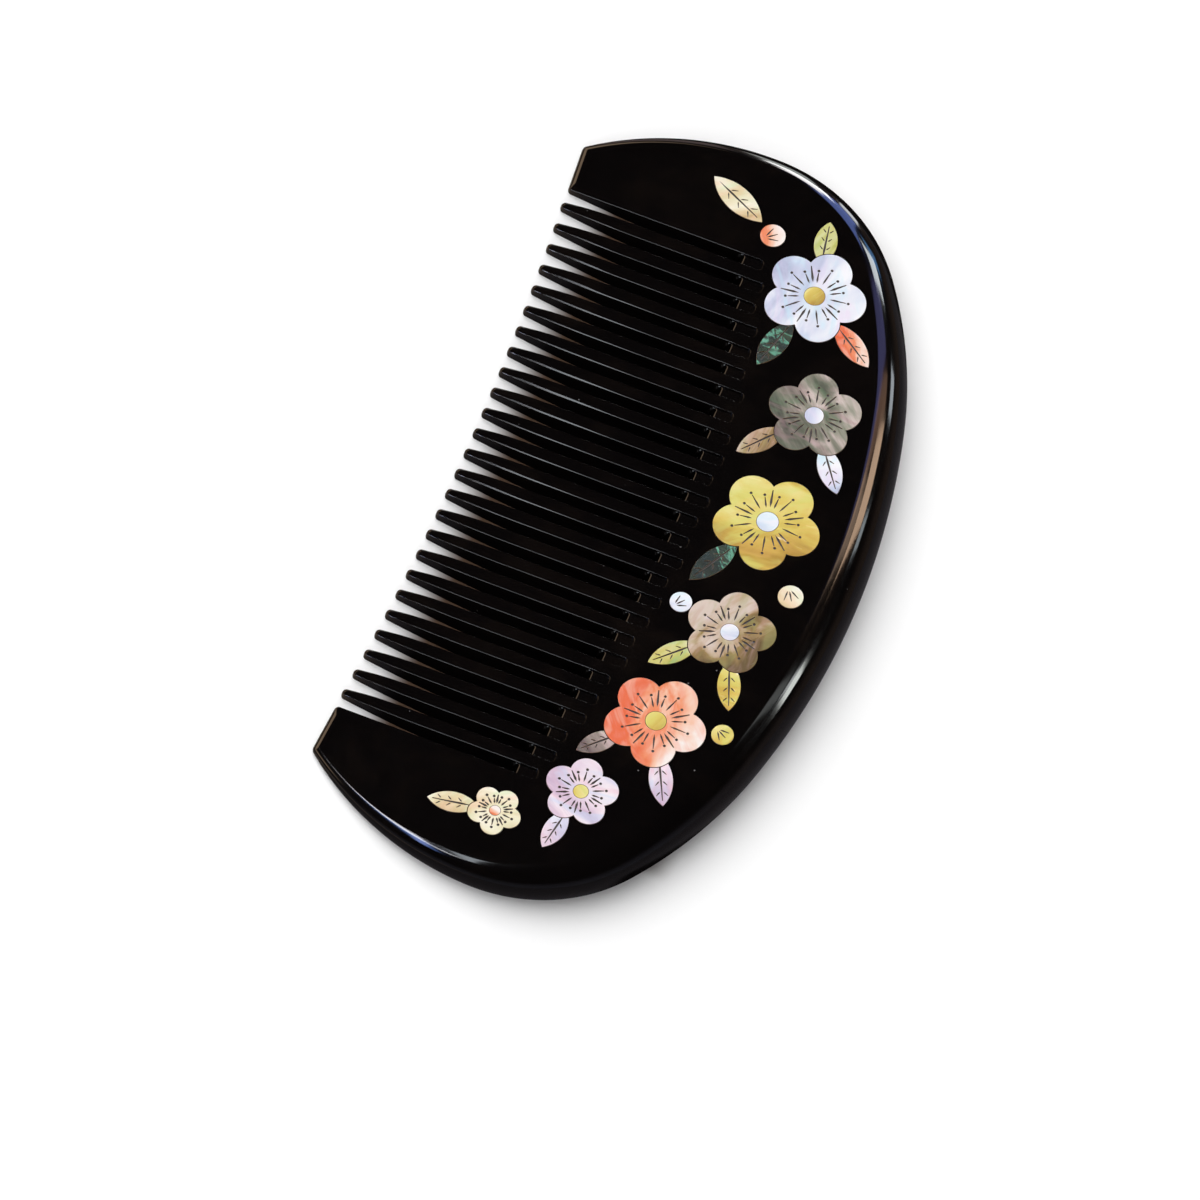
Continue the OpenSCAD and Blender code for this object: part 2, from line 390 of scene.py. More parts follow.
@dataclass(frozen=True)
class Rim:
    """The round edge from one guard over the spine to the other, as a chain of tangent arcs."""

    wedge: Wedge
    spine_radius: float = 105.5
    spine_turn: float = 14.3
    shoulder_turn: float = 34.9
    wide_y: float = 23.7
    side_radius: float = 36.7
    crown: float = 1.5
    step: float = 0.5
    least_steps: int = 4

    @property
    def side_mid(self) -> Plan:
        """Centre of the side arc on the +X half."""
        return (self.wedge.length / 2 - self.side_radius, self.wide_y)

    def _shoulder_and_end(self) -> tuple[float, float]:
        """Solves for the two radii that follow from the length and the width.

        Returns:
            The radius of the shoulder's arc and that of the end's.
        """
        spine, shoulder = math.radians(self.spine_turn), math.radians(self.shoulder_turn)
        turn = (math.sin(shoulder) - math.sin(spine), 1 - math.sin(shoulder))
        fall = (math.cos(spine) - math.cos(shoulder), math.cos(shoulder))
        reach = self.wedge.length / 2 - self.spine_radius * math.sin(spine)
        drop = self.wedge.width - self.wide_y - self.spine_radius * (1 - math.cos(spine))
        det = turn[0] * fall[1] - turn[1] * fall[0]
        return (reach * fall[1] - turn[1] * drop) / det, (turn[0] * drop - fall[0] * reach) / det

    def half(self, start: float) -> list[Station]:
        """Walks along the +X half.

        Args:
            start: the angle on the side arc where it begins.

        Returns:
            The stations up to the middle of the spine, which is left out.
        """
        shoulder_r, end_r = self._shoulder_and_end()
        spine = math.radians(self.spine_turn)
        spine_mid = (0.0, self.wedge.width - self.spine_radius)
        gap = self.spine_radius - shoulder_r
        shoulder_mid = (gap * math.sin(spine), spine_mid[1] + gap * math.cos(spine))
        end_mid = (self.wedge.length / 2 - end_r, self.wide_y)
        arcs = [
            (self.side_mid, self.side_radius, start, 0.0),
            (end_mid, end_r, 0.0, 90 - self.shoulder_turn),
            (shoulder_mid, shoulder_r, 90 - self.shoulder_turn, 90 - self.spine_turn),
            (spine_mid, self.spine_radius, 90 - self.spine_turn, 90.0),
        ]
        found = []
        for mid, radius, first, last in arcs:
            steps = max(self.least_steps, round(math.radians(last - first) * radius / self.step))
            arc = swing(mid, radius, first, last, steps)
            found += [Station(at, out, 0.0, crown=self.crown) for at, out in arc]
        return found


@dataclass(frozen=True)
class Guard:
    """The broad end tooth on the +X side, with its slanting tip and eased corners.

    radius and crown round the arris along the tip, corner_radius and corner_crown that at its inner corner.
    ease is how fast the one runs into the other.
    """

    rim: Rim
    inner_x: float
    slant: float = 0.45
    tip_corner: float = 0.5
    outer_corner: float = 0.8
    inner_corner: float = 0.5
    radius: float = 0.5
    crown: float = 1.5
    corner_radius: float = 0.3
    corner_crown: float = 0.5
    ease: float = 8.0
    steps: int = 8
    wall_lifts: tuple[float, ...] = (9.0, 3.0, 0.8)
    tip_shares: tuple[float, ...] = (0.0, 0.06, 0.12, 0.25, 0.5, 0.75)

    def _tip_line(self) -> tuple[np.ndarray, np.ndarray]:
        """Lays the line of the tip's edge.

        Returns:
            A point on it and the direction along it, outwards.
        """
        side = self.rim.side_mid
        reach = side[0] + math.sqrt(self.rim.side_radius**2 - side[1] ** 2)
        start = np.array([self.inner_x, self.slant])
        return start, unit(np.array([reach - self.tip_corner, 0.0]) - start)

    def stations(self, inner: float, crown: float) -> tuple[list[Station], float]:
        """Walks round the guard.

        Args:
            inner: the radius of the arris on its inner wall.
            crown: the larger radius there, next to the face.

        Returns:
            The stations from the inner wall round to the rim, and the angle on the side arc where they end.
        """
        start, along = self._tip_line()
        inward = np.array([-along[1], along[0]])
        tip_angle = math.degrees(math.atan2(-inward[1], -inward[0]))
        c = self.inner_corner
        base = start + inward * c
        run = (self.inner_x + c - base[0]) / along[0]
        inner_mid = base + along * run
        wall = [(self.inner_x, inner_mid[1] + lift) for lift in self.wall_lifts]
        found = [Station(at, (-1.0, 0.0), 1.0, inner, crown=crown) for at in wall]
        for i, (at, out) in enumerate(swing(tuple(inner_mid), c, -180, tip_angle, self.steps)):
            share = smooth(i / self.steps)
            radius, big = lerp(inner, self.corner_radius, share), lerp(crown, self.corner_crown, share)
            found.append(Station(at, out, 1.0, radius, crown=big))
        outer_mid, side_angle = self._outer_corner(start, along, inward)
        first, last = inner_mid - inward * c, outer_mid - inward * self.outer_corner
        for share in self.tip_shares:
            at, full = lerp(first, last, share), smooth(share * self.ease)
            radius = lerp(self.corner_radius, self.radius, full)
            big = lerp(self.corner_crown, self.crown, full)
            found.append(Station(tuple(at), tuple(-inward), 1.0, radius, crown=big))
        bend = swing(tuple(outer_mid), self.outer_corner, tip_angle, side_angle, self.steps)
        for i, (at, out) in enumerate(bend):
            found.append(Station(at, out, 1 - smooth(i / self.steps), self.radius, crown=self.crown))
        return found, side_angle

    def _outer_corner(
        self, start: np.ndarray, along: np.ndarray, inward: np.ndarray
    ) -> tuple[np.ndarray, float]:
        """Fits the outer corner between the tip's edge and the side arc.

        Args:
            start: a point on the tip's edge.
            along: the direction along it, outwards.
            inward: the direction from it into the wood.

        Returns:
            The corner's centre, and the angle at which it runs into the side arc.
        """
        c = self.outer_corner
        base = start + inward * c - np.array(self.rim.side_mid)
        b = float(base @ along)
        far = b * b - float(base @ base) + (self.rim.side_radius - c) ** 2
        mid = start + inward * c + along * (-b + math.sqrt(far))
        way = mid - np.array(self.rim.side_mid)
        return mid, math.degrees(math.atan2(way[1], way[0]))


@dataclass(frozen=True)
class Teeth:
    """The fine teeth and the slots between them, with the shallow saw mark beyond each slot.

    A sharp_ size belongs to the side towards -X. The other side is polished down to a crown: worn_ sizes give
    the wear round the most used tooth, over len from the tip and a fade beyond, and tip_worn_ sizes the wear
    near all the tips. The first millimetres, bare_len and bare_fade, keep no crown.
    """

    wedge: Wedge
    count: int = 25
    pitch: float = 3.13
    tooth_w: float = 1.67
    tip_w: float = 1.1
    taper: float = 10.0
    tip_y: float = 2.06
    tip_arc: float = 437.0
    root_y: float = 29.5
    root_arc: float = 140.7
    corner: float = 0.3
    mark_len: float = 2.6
    mark_vary: float = 0.35
    mark_start: float = 1.0
    mark_corner: float = 0.42
    mark_lip: float = 0.035
    sharp_lip: float = 0.01
    arris: float = 0.06
    sharp_arris: float = 0.004
    crown: float = 0.12
    worn_crown: float = 1.1
    worn_tooth: float = 9.0
    worn_spread: float = 5.2
    worn_len: float = 8.0
    worn_fade: float = 9.0
    tip_worn_tooth: float = 4.5
    tip_worn_spread: float = 9.0
    tip_worn_len: float = 5.5
    tip_worn_fade: float = 3.0
    uneven: float = 0.3
    bare_len: float = 0.8
    bare_fade: float = 2.5
    tip_arris: float = 0.45
    tip_fade: float = 4.0
    root_arris: float = 0.07
    root_crown: float = 0.42
    root_room: float = 0.95
    crown_room: float = 2.5
    root_angles: tuple[float, ...] = (0, 18, 36, 54, 72, 88)
    foot_step: float = 0.7
    lip_fade: float = 0.4
    lip_shares: tuple[float, ...] = (0.0, 0.15, 0.4, 0.99)
    taper_steps: int = 8
    tip_steps: int = 16
    shank: tuple[float, ...] = (12.0, 14.0, 16.0, 18.0, 20.0)

    @property
    def slot_half(self) -> float:
        """Half the width of a slot."""
        return (self.pitch - self.tooth_w) / 2

    @property
    def guard_x(self) -> float:
        """Where the guards' inner walls stand."""
        return self.count / 2 * self.pitch + self.slot_half

    def _tooth(self, k: int) -> tuple[float, float]:
        """Returns a tooth's middle and the place of its tip."""
        x = (k - (self.count + 1) / 2) * self.pitch
        return x, self.tip_y - self.tip_arc + math.sqrt(self.tip_arc**2 - x * x)

    def _slot(self, k: int) -> tuple[float, float]:
        """Returns a slot's middle and the place of its end."""
        x = (k - self.count / 2) * self.pitch
        return x, self.root_y - self.root_arc + math.sqrt(self.root_arc**2 - x * x)

    def arrises(self, x: float, hand: int, s: float) -> tuple[float, float]:
        """Returns how an arris is rounded, first its radius and then its crown.

        Those on the -X side are sharp. Those on the +X side are polished down, most near the much used tips.

        Args:
            x: the place of the tooth.
            hand: -1 for its -X side and 1 for the other.
            s: the distance from its tip.

        Returns:
            The two radii.
        """
        if hand < 0:
            return self.sharp_arris, 0.0
        k = x / self.pitch + (self.count + 1) / 2
        share = self._wear(k, s) * (1 - self.uneven + self.uneven * math.sin(SCATTER * k))
        crown = self.crown + self.worn_crown * share
        return self.arris, crown * smooth((s - self.bare_len) / self.bare_fade)

    def _wear(self, k: float, s: float) -> float:
        """Tells how far a tooth is worn.

        Args:
            k: the tooth's number.
            s: the distance from its tip.

        Returns:
            The wear, from 0 to 1.
        """
        used = math.exp(-(((k - self.worn_tooth) / self.worn_spread) ** 4))
        tip_used = math.exp(-(((k - self.tip_worn_tooth) / self.tip_worn_spread) ** 2))
        near = 1 - smooth((s - self.worn_len) / self.worn_fade)
        tip_near = 1 - smooth((s - self.tip_worn_len) / self.tip_worn_fade)
        return min(1.0, used * near + tip_used * tip_near)

    def _side(self, x: float, tip: float, hand: int, s: float) -> Station:
        """Returns a station on a tooth's side.

        Args:
            x: the tooth's middle.
            tip: the place of its tip.
            hand: -1 for the side towards -X and 1 for the other.
            s: the distance from the tip.

        Returns:
            The station.
        """
        r = self.tip_w / 2
        left = max(0.0, self.taper - s) / (self.taper - r)
        half = self.tooth_w / 2 - (self.tooth_w / 2 - r) * left**2
        slope = 2 * (self.tooth_w / 2 - r) * left / (self.taper - r)
        out = unit(np.array([hand, -slope]))
        radius, crown = self.arrises(x, hand, s)
        if hand < 0:
            radius = lerp(self.tip_arris, radius, smooth(s / self.tip_fade))
        return Station((x + hand * half, tip + s), tuple(out), 1.0, radius, crown=crown)

    def _tooth_stations(self, k: int) -> list[Station]:
        """Walks round a tooth, down its -X side, round the tip and up the other.

        Args:
            k: the tooth's number.

        Returns:
            The stations.
        """
        x, tip = self._tooth(k)
        r = self.tip_w / 2
        steps = range(1, self.taper_steps + 1)
        ways = [lerp(r, self.taper, i / self.taper_steps) for i in steps] + list(self.shank)
        down = [self._side(x, tip, -1, s) for s in reversed(ways)]
        start = 180 + math.degrees(math.atan(-self._side(x, tip, -1, r).out[1]))
        bend = []
        for at, out in swing((x, tip + r), r, start, 540 - start, self.tip_steps):
            bend.append(Station(at, out, 1.0, lerp(self.arris, self.tip_arris, smooth(1 - out[0]))))
        return down + bend + [self._side(x, tip, 1, s) for s in ways]

    def _slot_stations(self, k: int) -> list[Station]:
        """Walks round a slot, from its -X wall round the end to the other wall.

        Args:
            k: the slot's number.

        Returns:
            The stations.
        """
        x, end = self._slot(k)
        lean = 1 / self.wedge.stretch
        length = self.mark_start + self.mark_len + self.mark_vary * math.sin(math.radians(SCATTER * k))
        mark_end = end - self.mark_start + length * lean
        tooth, _ = self._tooth(k)
        near = self._wall(x, end, mark_end, self.arrises(tooth, 1, end), self.mark_lip)
        far = self._wall(x, end, mark_end, self.arrises(tooth + self.pitch, -1, end), self.sharp_lip)
        root = (self.root_arris, (x, mark_end), self.mark_lip, self.root_crown)
        middle = Station((x, end), (0.0, -1.0), 1.0, *root)
        return near + [middle] + [s.across(x) for s in reversed(far)]

    def _wall(
        self, x: float, end: float, mark_end: float, rounding: tuple[float, float], lip: float
    ) -> list[Station]:
        """Walks up the -X wall of a slot and of its saw mark, and round the corner at their ends.

        Args:
            x: the slot's middle.
            end: the place of its end.
            mark_end: the place of the mark's end.
            rounding: the radius and the crown of the tooth's arris.
            lip: the radius of the arris along the mark.

        Returns:
            The stations.
        """
        wall, foot = x - self.slot_half, end - self.corner
        radius, crown = rounding
        found = [Station((wall, foot - self.foot_step), (1.0, 0.0), 1.0, radius, crown=crown)]
        top = mark_end - self.mark_corner
        for share in self.lip_shares:
            gone = smooth(share / self.lip_fade)
            mark = (wall, lerp(foot, top, share))
            edge, edge_crown = lerp(radius, lip, gone), lerp(crown, 0.0, gone)
            found.append(Station((wall, foot), (1.0, 0.0), 1.0, 0.0, mark, edge, lip_crown=edge_crown))
        for a in self.root_angles:
            c, s = math.cos(math.radians(a)), math.sin(math.radians(a))
            room = self.root_room * self.corner * (1 / c - 1)
            at = (wall + self.corner * (1 - c), foot + self.corner * s)
            mark = (wall + self.mark_corner * (1 - c), top + self.mark_corner * s)
            edge = lerp(lip, self.mark_lip, smooth(a / 90))
            radius, crown = min(self.root_arris, room), min(self.root_crown, self.crown_room * room)
            found.append(Station(at, (c, -s), 1.0, radius, mark, edge, crown))
        return found

    def stations(self) -> list[Station]:
        """Walks round all teeth and slots.

        Returns:
            The stations from the -X guard's inner wall to the +X guard's.
        """
        found = self._slot_stations(0)
        for k in range(1, self.count + 1):
            found += self._tooth_stations(k) + self._slot_stations(k)
        return found


@dataclass
class Skin:
    """A mesh in the making: points without doubles, faces, and the direction of light on each corner.

    fine is how many places a millimetre are told apart, and thin the size of a face too small to matter.
    """

    fine: int = 20000
    thin: float = 1e-9
    points: list[np.ndarray] = field(default_factory=list)
    faces: list[list[int]] = field(default_factory=list)
    normals: list[list[np.ndarray]] = field(default_factory=list)
    eased: dict[int, float] = field(default_factory=dict)
    known: dict[tuple[int, ...], int] = field(default_factory=dict)

    def point(self, at: np.ndarray, eased: float = 0.0) -> int:
        """Finds the point at a place, or adds it if it is new.

        Args:
            at: the place.
            eased: how far it lies on a worn arris, from 0 to 1.

        Returns:
            The point's number.
        """
        key = tuple(int(round(c * self.fine)) for c in at)
        if key not in self.known:
            self.known[key] = len(self.points)
            self.points.append(np.asarray(at, float))
        index = self.known[key]
        self.eased[index] = max(eased, self.eased.get(index, 0.0))
        return index

    def face(self, corners: Sequence[int], normals: Sequence[np.ndarray]) -> None:
        """Adds a face, without corners that fall together.

        Args:
            corners: the numbers of its points.
            normals: the direction of light on each corner.
        """
        kept = [i for i in range(len(corners)) if corners[i] != corners[i - 1]]
        if len({corners[i] for i in kept}) >= 3:
            self.faces.append([corners[i] for i in kept])
            self.normals.append([normals[i] for i in kept])

    def flat(self, corners: Sequence[int]) -> None:
        """Adds a face that is lit as a flat one.

        Args:
            corners: the numbers of its points.
        """
        a, b, c = (self.points[i] for i in corners[:3])
        across = np.cross(b - a, c - a)
        if np.linalg.norm(across) > self.thin:
            self.face(corners, [unit(across)] * len(corners))

    def to_object(self, name: str, wedge: Wedge) -> bpy.types.Object:
        """Finishes the mesh, inside the CAD part's box.

        Args:
            name: the object's name.
            wedge: the comb's blank, which knows its place in the frame.

        Returns:
            The object, in the scene and in the frame's metres.
        """
        mesh = bpy.data.meshes.new(name)
        places = np.clip(wedge.to_frame(np.array(self.points)), *(np.array(corner) for corner in CAD_BOX))
        mesh.from_pydata(places.tolist(), [], self.faces)
        mesh.shade_smooth()
        mesh.normals_split_custom_set([tuple(n) for corners in self.normals for n in corners])
        worn = mesh.attributes.new("eased", "FLOAT", "POINT")
        worn.data.foreach_set("value", [self.eased[i] for i in range(len(self.points))])
        return add_object(name, mesh)


@dataclass(frozen=True)
class Profile:
    """How the edge is drawn from the face over its outermost line to the back."""

    wedge: Wedge
    turn: float = 18.0
    crown_steps: int = 4
    arris_steps: int = 9
    back_steps: int = 7
    back_arris: float = 0.2
    mark_deep: float = 0.35

    @property
    def wall_count(self) -> int:
        """How many points lie on the wall, between the two roundings."""
        return self.arris_steps + 2

    def _angles(self) -> list[float]:
        """Returns the angles above the horizontal of an arris's points, closer together in the crown."""
        crown = np.linspace(90, 90 - self.turn, self.crown_steps + 1).tolist()
        return crown[:-1] + np.linspace(90 - self.turn, 0, self.arris_steps - self.crown_steps + 1).tolist()

    def _upper(self, at: Plan, out: Plan, radius: float, crown: float, top: float = 0.0) -> list[tuple]:
        """Returns the rounding from the face down to the wall.

        Args:
            at: the place on the wall.
            out: the direction out of the wall.
            radius: the radius of the rounding next to the wall.
            crown: the larger radius next to the face, or anything less for none.
            top: how far below the face the plane lies that the rounding touches.

        Returns:
            Pairs of a point and the direction out of the surface there.
        """
        way = np.array([*out, 0.0])
        normal = self.wedge.normal
        big = max(radius, crown)
        turned = self._way(way, normal, 90 - self.turn)
        drop = (big - radius) * (1 - float(turned @ normal))
        x, y = at[0] - out[0] * radius, at[1] - out[1] * radius
        mid = np.array([x, y, self.wedge.height(y) - top - (radius + drop) * self.wedge.stretch])
        found = []
        for i, a in enumerate(self._angles()):
            to = self._way(way, normal, a)
            is_crown = i <= self.crown_steps
            found.append((mid - (big - radius) * turned + big * to if is_crown else mid + radius * to, to))
        return found

    @staticmethod
    def _way(out: np.ndarray, up: np.ndarray, angle: float) -> np.ndarray:
        """Returns the direction at an angle in degrees from out towards up."""
        return unit(out * math.cos(math.radians(angle)) + up * math.sin(math.radians(angle)))

    def _lower(self, at: Plan, out: Plan, radius: float, steps: int) -> list[tuple]:
        """Returns the rounding from the wall down to the back.

        Args:
            at: the place on the wall.
            out: the direction out of the wall.
            radius: the radius of the rounding.
            steps: how many points there are.

        Returns:
            Pairs of a point and the direction out of the surface there.
        """
        mid = np.array([at[0] - out[0] * radius, at[1] - out[1] * radius, radius])
        flat, up = np.array([*out, 0.0]), np.array([0, 0, 1.0])
        ways = [self._way(flat, up, a) for a in np.linspace(0, -90, steps)]
        return [(mid + radius * way, way) for way in ways]

    def _round(self, station: Station) -> list[tuple]:
        """Draws the full round profile of the rim.

        Args:
            station: the place on the edge.

        Returns:
            The points, each with the light's direction above and below it.
        """
        radius = self.wedge.full_round(station.at, station.out, station.crown, self.turn)
        upper = self._upper(station.at, station.out, radius, station.crown)
        lower = self._lower(station.at, station.out, radius, self.wall_count + self.back_steps + 2)[1:]
        return [(p, n, n) for p, n in upper + lower]

    def _sawn(self, station: Station) -> list[tuple]:
        """Draws a sawn edge, with its saw mark where it has one.

        Args:
            station: the place on the edge.

        Returns:
            The points, each with the light's direction above and below it.
        """
        wall = np.array([*station.out, 0.0])
        if station.mark is None:
            most = self.wedge.full_round(station.at, station.out, station.crown, self.turn)
            radius = min(station.radius, most)
            upper = self._upper(station.at, station.out, radius, station.crown)
        else:
            upper = self._upper(station.mark, station.out, station.lip, station.lip_crown)
            radius = self.back_arris
        lower = self._lower(station.at, station.out, radius, self.back_steps + 1)
        high, low = upper[-1][0], lower[0][0]
        points = [(p, n, n) for p, n in upper]
        if station.mark is None:
            shares = [i / (self.wall_count + 1) for i in range(1, self.wall_count + 1)]
            points += [(lerp(high, low, share), wall, wall) for share in shares]
        else:
            floor = self.wedge.height(station.mark[1]) - self.mark_deep
            normal = self.wedge.normal
            points.append((np.array([*station.mark, floor]), wall, normal))
            root = self._upper(station.at, station.out, station.radius, station.crown, self.mark_deep)
            above = [normal] + [n for _, n in root[1:]]
            below = [n for _, n in root[:-1]] + [wall]
            points += [(p, a, b) for (p, _), a, b in zip(root, above, below)]
        return points + [(p, n, n) for p, n in lower]

    def draw(self, station: Station) -> list[tuple]:
        """Draws the edge at a station.

        Args:
            station: the place on the edge.

        Returns:
            The points, each with the light's direction above and below it.
        """
        if station.sawn >= 1:
            return self._sawn(station)
        if station.sawn <= 0:
            return self._round(station)
        found = []
        for whole, sawn in zip(self._round(station), self._sawn(station)):
            at, above, below = (lerp(a, b, station.sawn) for a, b in zip(whole, sawn))
            found.append((at, unit(above), unit(below)))
        return found


# The inlay's layout, in the frame of the sloping face


@dataclass(frozen=True)
class Piece:
    """A shell piece: its place on the face, its turn in degrees, and its size."""

    name: str
    x: float
    up: float
    turn: float
    size: float

    def outline(self, grow: float) -> list[Plan]:
        """Returns the piece's outline on the face, grown by a little."""
        a = math.radians(self.turn)
        c, s = math.cos(a), math.sin(a)
        return [(self.x + c * u - s * v, self.up + s * u + c * v) for u, v in self.shape(grow)]

    def shape(self, grow: float) -> list[Plan]:
        """Returns the outline in the piece's own frame."""
        raise NotImplementedError


@dataclass(frozen=True)
class Blossom(Piece):
    """A plum blossom of five round petals; size is the radius to the petal ends."""

    petals: int = 5
    petal_share: float = 0.43
    reach_share: float = 0.57
    petal_steps: int = 18

    def shape(self, grow: float) -> list[Plan]:
        """Draws five arcs that meet in the clefts between the petals.

        Args:
            grow: how far the outline is moved outwards.

        Returns:
            The outline in the piece's own frame.
        """
        r = self.size * self.petal_share + grow
        reach = self.size * self.reach_share
        half = math.pi / self.petals
        cleft = reach * math.cos(half) + math.sqrt(r * r - (reach * math.sin(half)) ** 2)
        open_angle = math.atan2(cleft * math.sin(half), cleft * math.cos(half) - reach)
        found = []
        for i in range(self.petals):
            mid = math.pi / 2 + 2 * half * (i + 1)
            centre = (reach * math.cos(mid), reach * math.sin(mid))
            first, last = math.degrees(mid - open_angle), math.degrees(mid + open_angle)
            found += [at for at, _ in swing(centre, r, first, last, self.petal_steps)]
        return found


@dataclass(frozen=True)
class Leaf(Piece):
    """A pointed leaf where two round discs cross; size is its length."""

    wide: float = 3.0
    arc_steps: int = 16

    def shape(self, grow: float) -> list[Plan]:
        """Draws the two arcs that meet in the leaf's points.

        Args:
            grow: how far the outline is moved outwards.

        Returns:
            The outline in the piece's own frame.
        """
        r = (self.size**2 + self.wide**2) / (4 * self.wide)
        apart = r - self.wide / 2
        half = math.degrees(math.acos(apart / (r + grow)))
        lower = swing((0, apart), r + grow, 270 - half, 270 + half, self.arc_steps)
        upper = swing((0, -apart), r + grow, 90 - half, 90 + half, self.arc_steps)
        return [at for at, _ in (*lower, *upper)]


@dataclass(frozen=True)
class Bud(Piece):
    """A round bud; size is its radius."""

    steps: int = 40

    def shape(self, grow: float) -> list[Plan]:
        """Returns a circle."""
        return [at for at, _ in swing((0, 0), self.size + grow, 0, 360, self.steps)]


LAYOUT: tuple[Piece, ...] = (
    Blossom("white", -37.6, 34.4, 8, 6.6),
    Blossom("grey", -21.6, 40.4, 30, 6.0),
    Blossom("gold", -5.2, 40.4, -6, 6.9),
    Blossom("olive", 11.2, 41.6, 20, 5.8),
    Blossom("coral", 26.4, 37.6, -2, 6.5),
    Blossom("lilac", 39.2, 32.6, 24, 4.7),
    Blossom("cream", 45.8, 23.8, -8, 3.4),
    Leaf("lemon", -46.9, 20.6, 64, 8.8, 3.4),
    Leaf("spring", -45.3, 33.0, 190, 6.2, 2.9),
    Leaf("salmon", -32.8, 41.2, 55, 7.4, 3.0),
    Leaf("abalone", -29.4, 32.2, -15, 7.8, 3.1),
    Leaf("sky", -15.2, 44.9, 35, 7.2, 3.0),
    Leaf("moss", -15.7, 35.5, -40, 7.0, 3.0),
    Leaf("jade", 2.7, 36.2, -28, 8.0, 3.1),
    Leaf("honey", 18.3, 44.2, 20, 7.0, 2.9),
    Leaf("lime", 16.6, 36.2, -45, 7.0, 2.8),
    Leaf("blush", 33.8, 41.1, 25, 7.4, 3.0),
    Leaf("smoke", 31.9, 32.1, -45, 6.0, 2.7),
    Leaf("rose", 45.3, 31.5, -10, 6.0, 2.7),
    Leaf("pale", 46.7, 18.6, -80, 6.5, 2.8),
    Bud("apricot", -43.7, 26.5, 40, 1.6),
    Bud("cream", 3.6, 46.8, -60, 1.6),
    Bud("blue", 9.6, 34.5, 50, 1.4),
    Bud("yellow", 25.0, 45.9, -30, 1.4),
)


